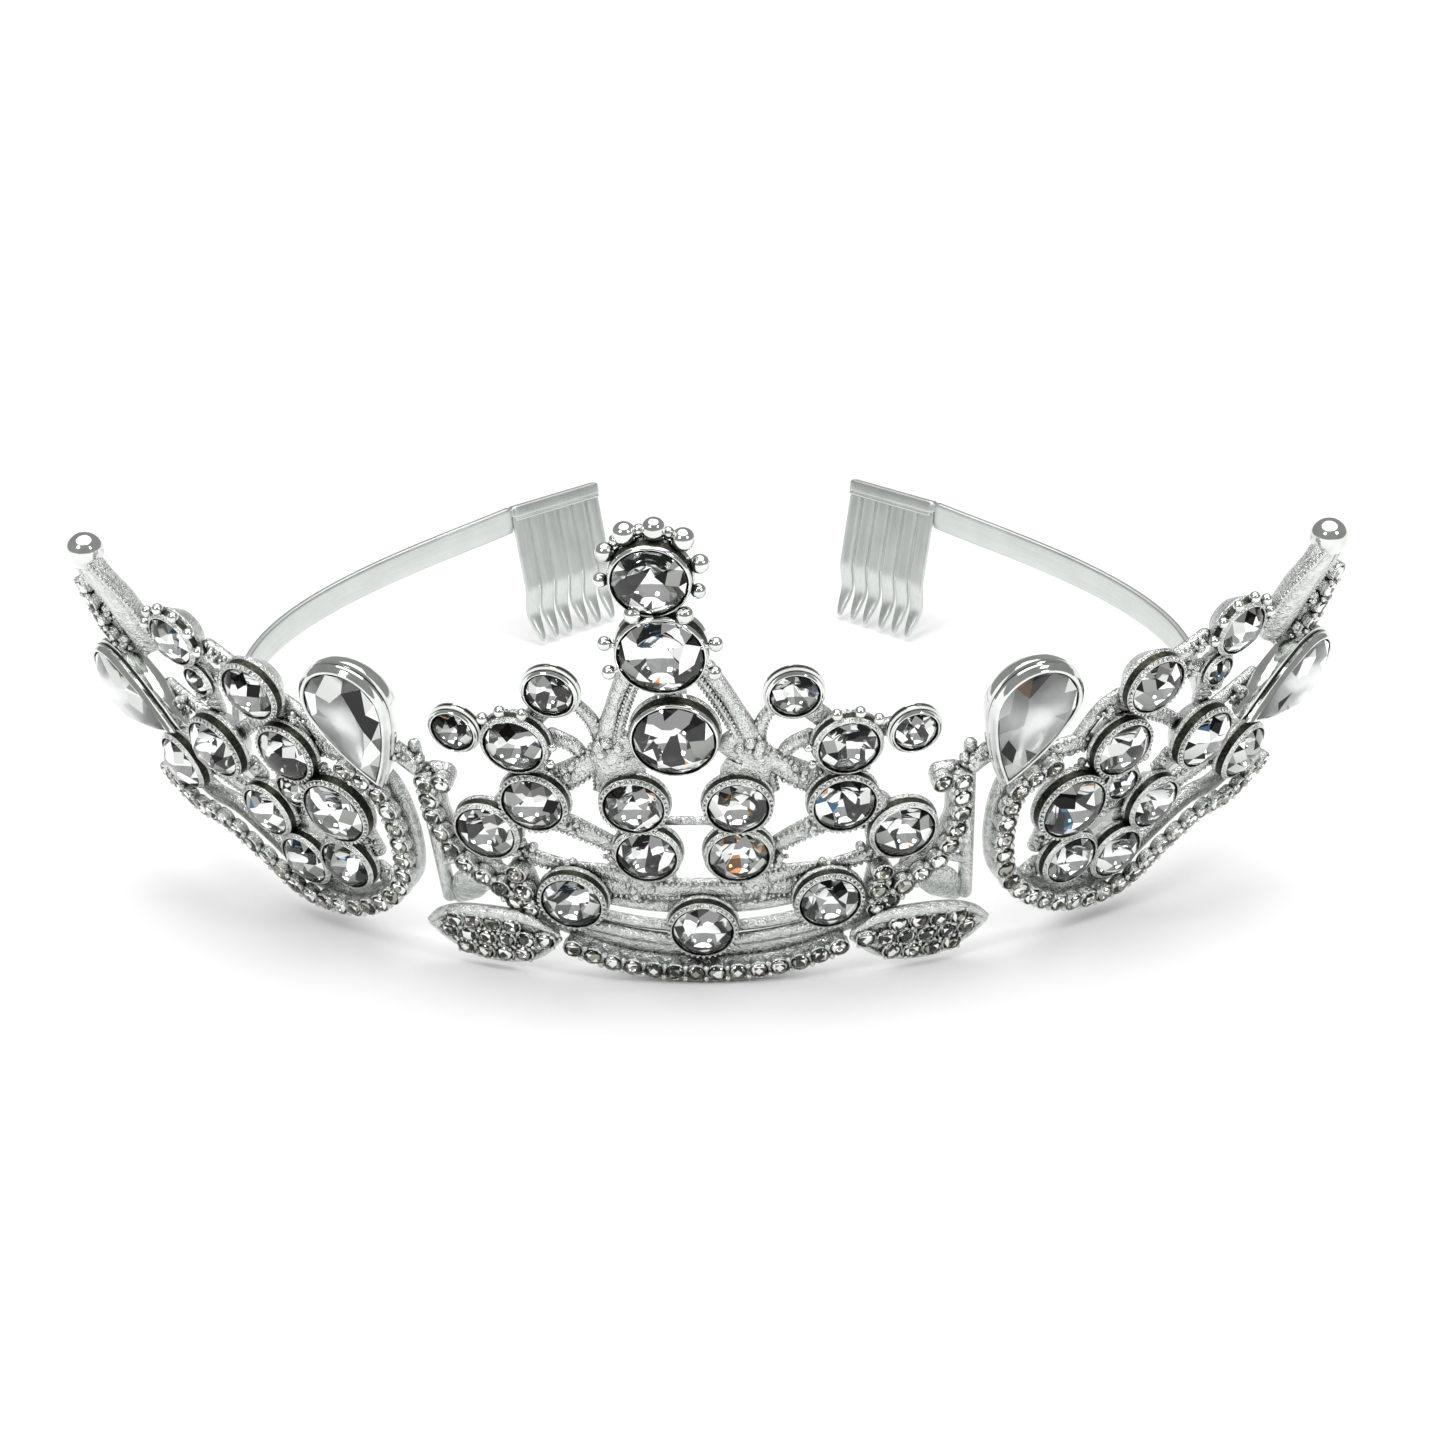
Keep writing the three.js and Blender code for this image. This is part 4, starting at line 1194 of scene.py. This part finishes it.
def band_arm(hand, side, sizes):
    """One sprung arm: an arc behind the wing, then two Bezier curves round to the comb.

    A rounded box ring, upright, follows it, and its lay is the way along, the height and the depth.
    """
    thickness = sizes.band_thickness / MM
    height = sizes.band_height / MM
    radius = FOOT_RADIUS + FRAME_BACK - BAND["gap"] - thickness / 2
    outer, along, _ = comb_axes()
    degrees = np.radians(np.linspace(BAND["hidden_from"], BAND["leaves_at"], 16))
    arc = radius * np.column_stack([np.sin(degrees), -np.cos(degrees)])
    leaving = np.array([np.cos(degrees[-1]), np.sin(degrees[-1])])
    widest = np.array([BAND["half_width"], BAND["widest_at"]], float)
    end = outer - BAND["gap"] * along

    def bezier(a, b, c, d, count):
        t = np.linspace(0, 1, count)[1:, None]
        return (1 - t) ** 3 * a + 3 * t * (1 - t) ** 2 * b + 3 * t**2 * (1 - t) * c + t**3 * d

    plan = np.concatenate([
        arc,
        bezier(arc[-1], arc[-1] + 10 * leaving, widest - (0, 10), widest, 40),
        bezier(widest, widest + (0, 20), end - 12 * along, end, 70)])
    reach = lengths(plan)
    top = COMB["top"] - height / 2
    level = BAND["front_height"] + (top - BAND["front_height"]) * (reach / reach[-1])
    path = np.column_stack([side * plan[:, 0], plan[:, 1], level]) + FOOT_MIDDLE
    upwards = np.tile([0.0, 0, 1], (len(path), 1))
    sides = 20
    shape = tube(path, upwards, thickness / 2, height / 2, sides, 0.35)
    run = held(reach)
    offset = shape[0][:-2].reshape(len(run), sides, 3) - held(path)[:, None]
    lay = np.stack([np.broadcast_to(run[:, None], offset.shape[:2]), offset[..., 2],
                    0.2 * np.linalg.norm(offset[..., :2], axis=-1)], -1)
    lay = np.concatenate([lay.reshape(-1, 3), [[0, 0, 0], [run[-1], 0, 0]]])
    piece = Piece(f"band_{hand}")
    piece.add(shape, lay=lay)
    piece.build(finishes("satin"), "satin_silver", [f"band_arm_{hand}"])


def comb(hand, side, sizes):
    """A hair comb: folded rim, thin plate, curved tapering teeth and two spot welds.

    Worked out in its own frame: X along it, Z up the leaning plate, Y square to the plate.
    """
    outer, along, width = comb_axes()
    lean = math.radians(COMB["lean"])
    headwards = np.array([-side * along[1], along[0], 0])
    x_axis = np.array([side * along[0], along[1], 0])
    z_axis = math.cos(lean) * np.array([0, 0, 1.0]) - math.sin(lean) * headwards
    place = np.eye(4)
    place[:3, 0], place[:3, 1], place[:3, 2] = x_axis, np.cross(z_axis, x_axis), z_axis
    place[:3, 3] = FOOT_MIDDLE + (side * outer[0], outer[1], COMB["top"])
    drop = (COMB["top"] - COMB["tips"]) / math.cos(lean)
    plate = COMB["plate"]
    tooth = sizes.tooth / MM
    pitch = (width - tooth) / (sizes.teeth - 1)
    piece = Piece(f"comb_{hand}")

    def add(path, wide, thick, *section):
        """A tube whose rings face along Y, with its lay up the plate, along it and square to it."""
        shape = tube(path, np.tile([0.0, 1, 0], (len(path), 1)), wide, thick, *section)
        piece.add(shape, place, lay=shape[0][:, [2, 0, 1]])

    def bar(inset, depth, height, *section):
        """A straight bar along the plate, the same distance in from both its ends."""
        start, end = np.array([(inset, depth, height), (width - inset, depth, height)], float)
        add(start + np.linspace(0, 1, 30)[:, None] * (end - start), *section)

    # the folded rim, the edge of its fold, and the plate
    bar(0.4, 0, -0.8, 0.84, 0.72, 20, 0.4)
    bar(0.3, 0.55 * side, -1.75, 0.22, 0.2, 10)
    bar(0.4, 0, -plate / 2 - 0.6, plate / 2 - 0.4, 0.16, 28, 0.25)
    share = np.linspace(0, 1, 44)
    height = -1.6 - (drop - 2.0) * share
    lower = np.clip((-height - plate) / (drop - plate), 0, 1)
    bulge = -side * 0.9 * np.sin(np.pi * lower) ** 2
    wide = 0.5 * (tooth + 0.1 + (0.3 - tooth) * lower**3.2)
    thick = 0.46 - 0.16 * lower**2
    for number in range(sizes.teeth):
        sway = 0.25 * np.sin(2.2 * number + 1) * lower**2
        add(np.column_stack([tooth / 2 + number * pitch + sway, bulge, height]), wide, thick, 16, 0.7)
    weld = turned([(0.1, 0.0), (0.5, 0.05), (0.62, 0.16), (0.5, 0.24), (0.28, 0.12), (0.1, 0.1)], 20)
    turn = np.array(Matrix.Rotation(side * math.pi / 2, 3, "X"))
    for spot in (1.6, 3.4):
        points = weld[0] @ turn.T + (spot, -side * 0.38, -3.2)
        piece.add((points, weld[1]), place, lay=points)
    piece.build(finishes("satin"), "satin_silver", [f"comb_{hand}"])


# ------------------------------------------------------------------ operators

class Builder:
    """What the operators share: each kind says in its build method what it makes."""

    def execute(self, context):
        self.build(context.scene)
        return {"FINISHED"}


class TIARA_OT_castings(Builder, bpy.types.Operator):
    """Build the middle casting and both scrolls, leaves and wings"""

    bl_idname = "tiara.castings"
    bl_label = "Castings"

    def build(self, scene):
        middle_casting(scene.tiara_sizes)
        for hand, side in HANDS.items():
            for casting in (scroll_casting, leaf_casting, wing_casting):
                casting(hand, side, scene.tiara_sizes)


class TIARA_OT_round_stones(Builder, bpy.types.Operator):
    """Set the round stones in their cups"""

    bl_idname = "tiara.round_stones"
    bl_label = "Round stones"

    def build(self, scene):
        sizes = scene.tiara_sizes
        for name, stone in SPIRE.items():
            round_stone(f"stone_{name}", 1, stone, sizes, [f"stone_{name}"])
        for hand, side in HANDS.items():
            for name, stone in {**BRANCHES, **WING}.items():
                round_stone(f"stone_{name}_{hand}", side, stone, sizes, [f"stone_{name}_{hand}"])
            for name, stone in WING_BUDS.items():
                round_stone(f"stone_{name}_{hand}", side, stone, sizes, [])


class TIARA_OT_pear_stones(Builder, bpy.types.Operator):
    """Set the pear stones in their deep cups"""

    bl_idname = "tiara.pear_stones"
    bl_label = "Pear stones"

    def build(self, scene):
        for hand, side in HANDS.items():
            for name, pear in PEARS.items():
                pear_stone(f"pear_{name}_{hand}", side, pear)


class TIARA_OT_small_stones(Builder, bpy.types.Operator):
    """Set the small stones along the foot, scrolls, leaves and wings"""

    bl_idname = "tiara.small_stones"
    bl_label = "Small stones"

    def build(self, scene):
        radius = scene.tiara_sizes.small_stone / MM / 2
        step = scene.tiara_sizes.small_step / MM

        def along(side, *rows):
            return np.concatenate([row_seats(side, row, step) for row in rows])

        small_stones("foot_row", along(1, FOOT_ROW), radius, ["bottom_stone_row"])
        for hand, side in HANDS.items():
            for name, places in (
                ("scroll", along(side, SCROLL_ROW, CLUSTER_ROW)),
                ("leaf", leaf_stones(side)),
                ("wing", along(side, WING_ROW, TIP_ROW)),
            ):
                small_stones(f"{name}_row_{hand}", places, radius, [f"{name}_stone_row_{hand}"])


class TIARA_OT_band(Builder, bpy.types.Operator):
    """Bend the two arms of the band"""

    bl_idname = "tiara.band"
    bl_label = "Band"

    def build(self, scene):
        for hand, side in HANDS.items():
            band_arm(hand, side, scene.tiara_sizes)


class TIARA_OT_combs(Builder, bpy.types.Operator):
    """Fix the two hair combs"""

    bl_idname = "tiara.combs"
    bl_label = "Combs"

    def build(self, scene):
        for hand, side in HANDS.items():
            comb(hand, side, scene.tiara_sizes)


def looking(back):
    """A turn that makes a lamp or a camera look the other way from a vector."""
    return back.to_track_quat("Z", "Y").to_matrix().to_4x4()


def softbox(name, spot, aim, size, power):
    """A square lamp that looks at a point."""
    light = bpy.data.lights.new(name, "AREA")
    light.size = size
    light.energy = power
    in_scene(name, light).matrix_world = (
        Matrix.Translation(spot) @ looking(Vector(spot) - Vector(aim)))


class TIARA_OT_stage(Builder, bpy.types.Operator):
    """Lay the floor and set the light and the camera"""

    bl_idname = "tiara.stage"
    bl_label = "Stage"

    def build(self, scene):
        self.lay_floor(scene.tiara_stage)
        self.set_light(scene)
        self.set_camera(scene)
        scene.view_settings.view_transform = "Standard"

    @staticmethod
    def lay_floor(settings):
        """A wide sheet of pale paper."""
        paper = Surface("floor_paper", Roughness=0.9)
        grain = paper.noise(paper.place(), 90)
        dull = [0.99 * level for level in settings.floor]
        paper.feed("Base Color", paper.blend(grain, dull, settings.floor))
        sheet = bpy.data.meshes.new("floor")
        half = 4
        corners = [(-half, -half, 0), (half, -half, 0), (half, half, 0), (-half, half, 0)]
        sheet.from_pydata(corners, [], [(0, 1, 2, 3)])
        sheet.materials.append(paper.material)
        in_scene("floor", sheet)

    @staticmethod
    def set_light(scene):
        """An even surround, one wide lamp overhead and two small softboxes in front."""
        scene.world = bpy.data.worlds.new("studio")
        scene.world.use_nodes = True
        surround = scene.world.node_tree.nodes["Background"].inputs
        surround["Color"].default_value = (1, 1, 1, 1)
        surround["Strength"].default_value = scene.tiara_stage.daylight
        sky = bpy.data.lights.new("overhead_sky", "SUN")
        sky.energy = scene.tiara_stage.overhead
        sky.angle = math.radians(75)
        in_scene("overhead_sky", sky)
        aim = (0, -0.03, 0.02)
        softbox("key_box", (-0.35, -0.5, 0.45), aim, 0.16, 1.2)
        softbox("fill_box", (0.45, -0.4, 0.4), aim, 0.14, 0.8)

    @staticmethod
    def set_camera(scene):
        """A camera at the set angle and distance from just under the middle of the foot."""
        settings = scene.tiara_stage
        target = Vector(((FOOT_MIDDLE + (0.2, 0, -1.45)) * MM).tolist())
        level = math.cos(settings.elevation)
        back = Vector((
            math.sin(settings.azimuth) * level, -math.cos(settings.azimuth) * level,
            math.sin(settings.elevation)))
        scene.camera = in_scene("camera", bpy.data.cameras.new("camera"))
        scene.camera.matrix_world = (
            Matrix.Translation(target + settings.distance * back) @ looking(back)
            @ Matrix.Rotation(settings.roll, 4, "Z"))
        scene.camera.data.lens = settings.lens
        scene.camera.data.sensor_width = 36
        scene.camera.data.clip_start = 0.01


BUILDERS = (
    TIARA_OT_castings, TIARA_OT_round_stones, TIARA_OT_pear_stones, TIARA_OT_small_stones,
    TIARA_OT_band, TIARA_OT_combs, TIARA_OT_stage,
)


class TIARA_PT_sidebar(bpy.types.Panel):
    """Lists the tiara's sizes, colours and builders"""

    bl_label = "Bridal tiara"
    bl_idname = "TIARA_PT_sidebar"
    bl_space_type = "VIEW_3D"
    bl_region_type = "UI"
    bl_category = "Tiara"

    def draw(self, context):
        for group_name, kind in GROUPS.items():
            box = self.layout.box()
            for name in kind.__annotations__:
                box.prop(getattr(context.scene, group_name), name)
        for builder in BUILDERS:
            self.layout.operator(builder.bl_idname)


GROUPS = {"tiara_sizes": TiaraSizes, "tiara_colours": TiaraColours, "tiara_stage": TiaraStage}


def register():
    for group in GROUPS.values():
        bpy.utils.register_class(group)
    for builder in BUILDERS:
        bpy.utils.register_class(builder)
    bpy.utils.register_class(TIARA_PT_sidebar)
    for name, group in GROUPS.items():
        setattr(bpy.types.Scene, name, bpy.props.PointerProperty(type=group))


def unregister():
    for name in GROUPS:
        delattr(bpy.types.Scene, name)
    for group in (TIARA_PT_sidebar, *BUILDERS, *GROUPS.values()):
        bpy.utils.unregister_class(group)


def main():
    register()
    for builder in BUILDERS:
        section, action = builder.bl_idname.split(".")
        getattr(getattr(bpy.ops, section), action)()


if __name__ == "__main__":
    main()
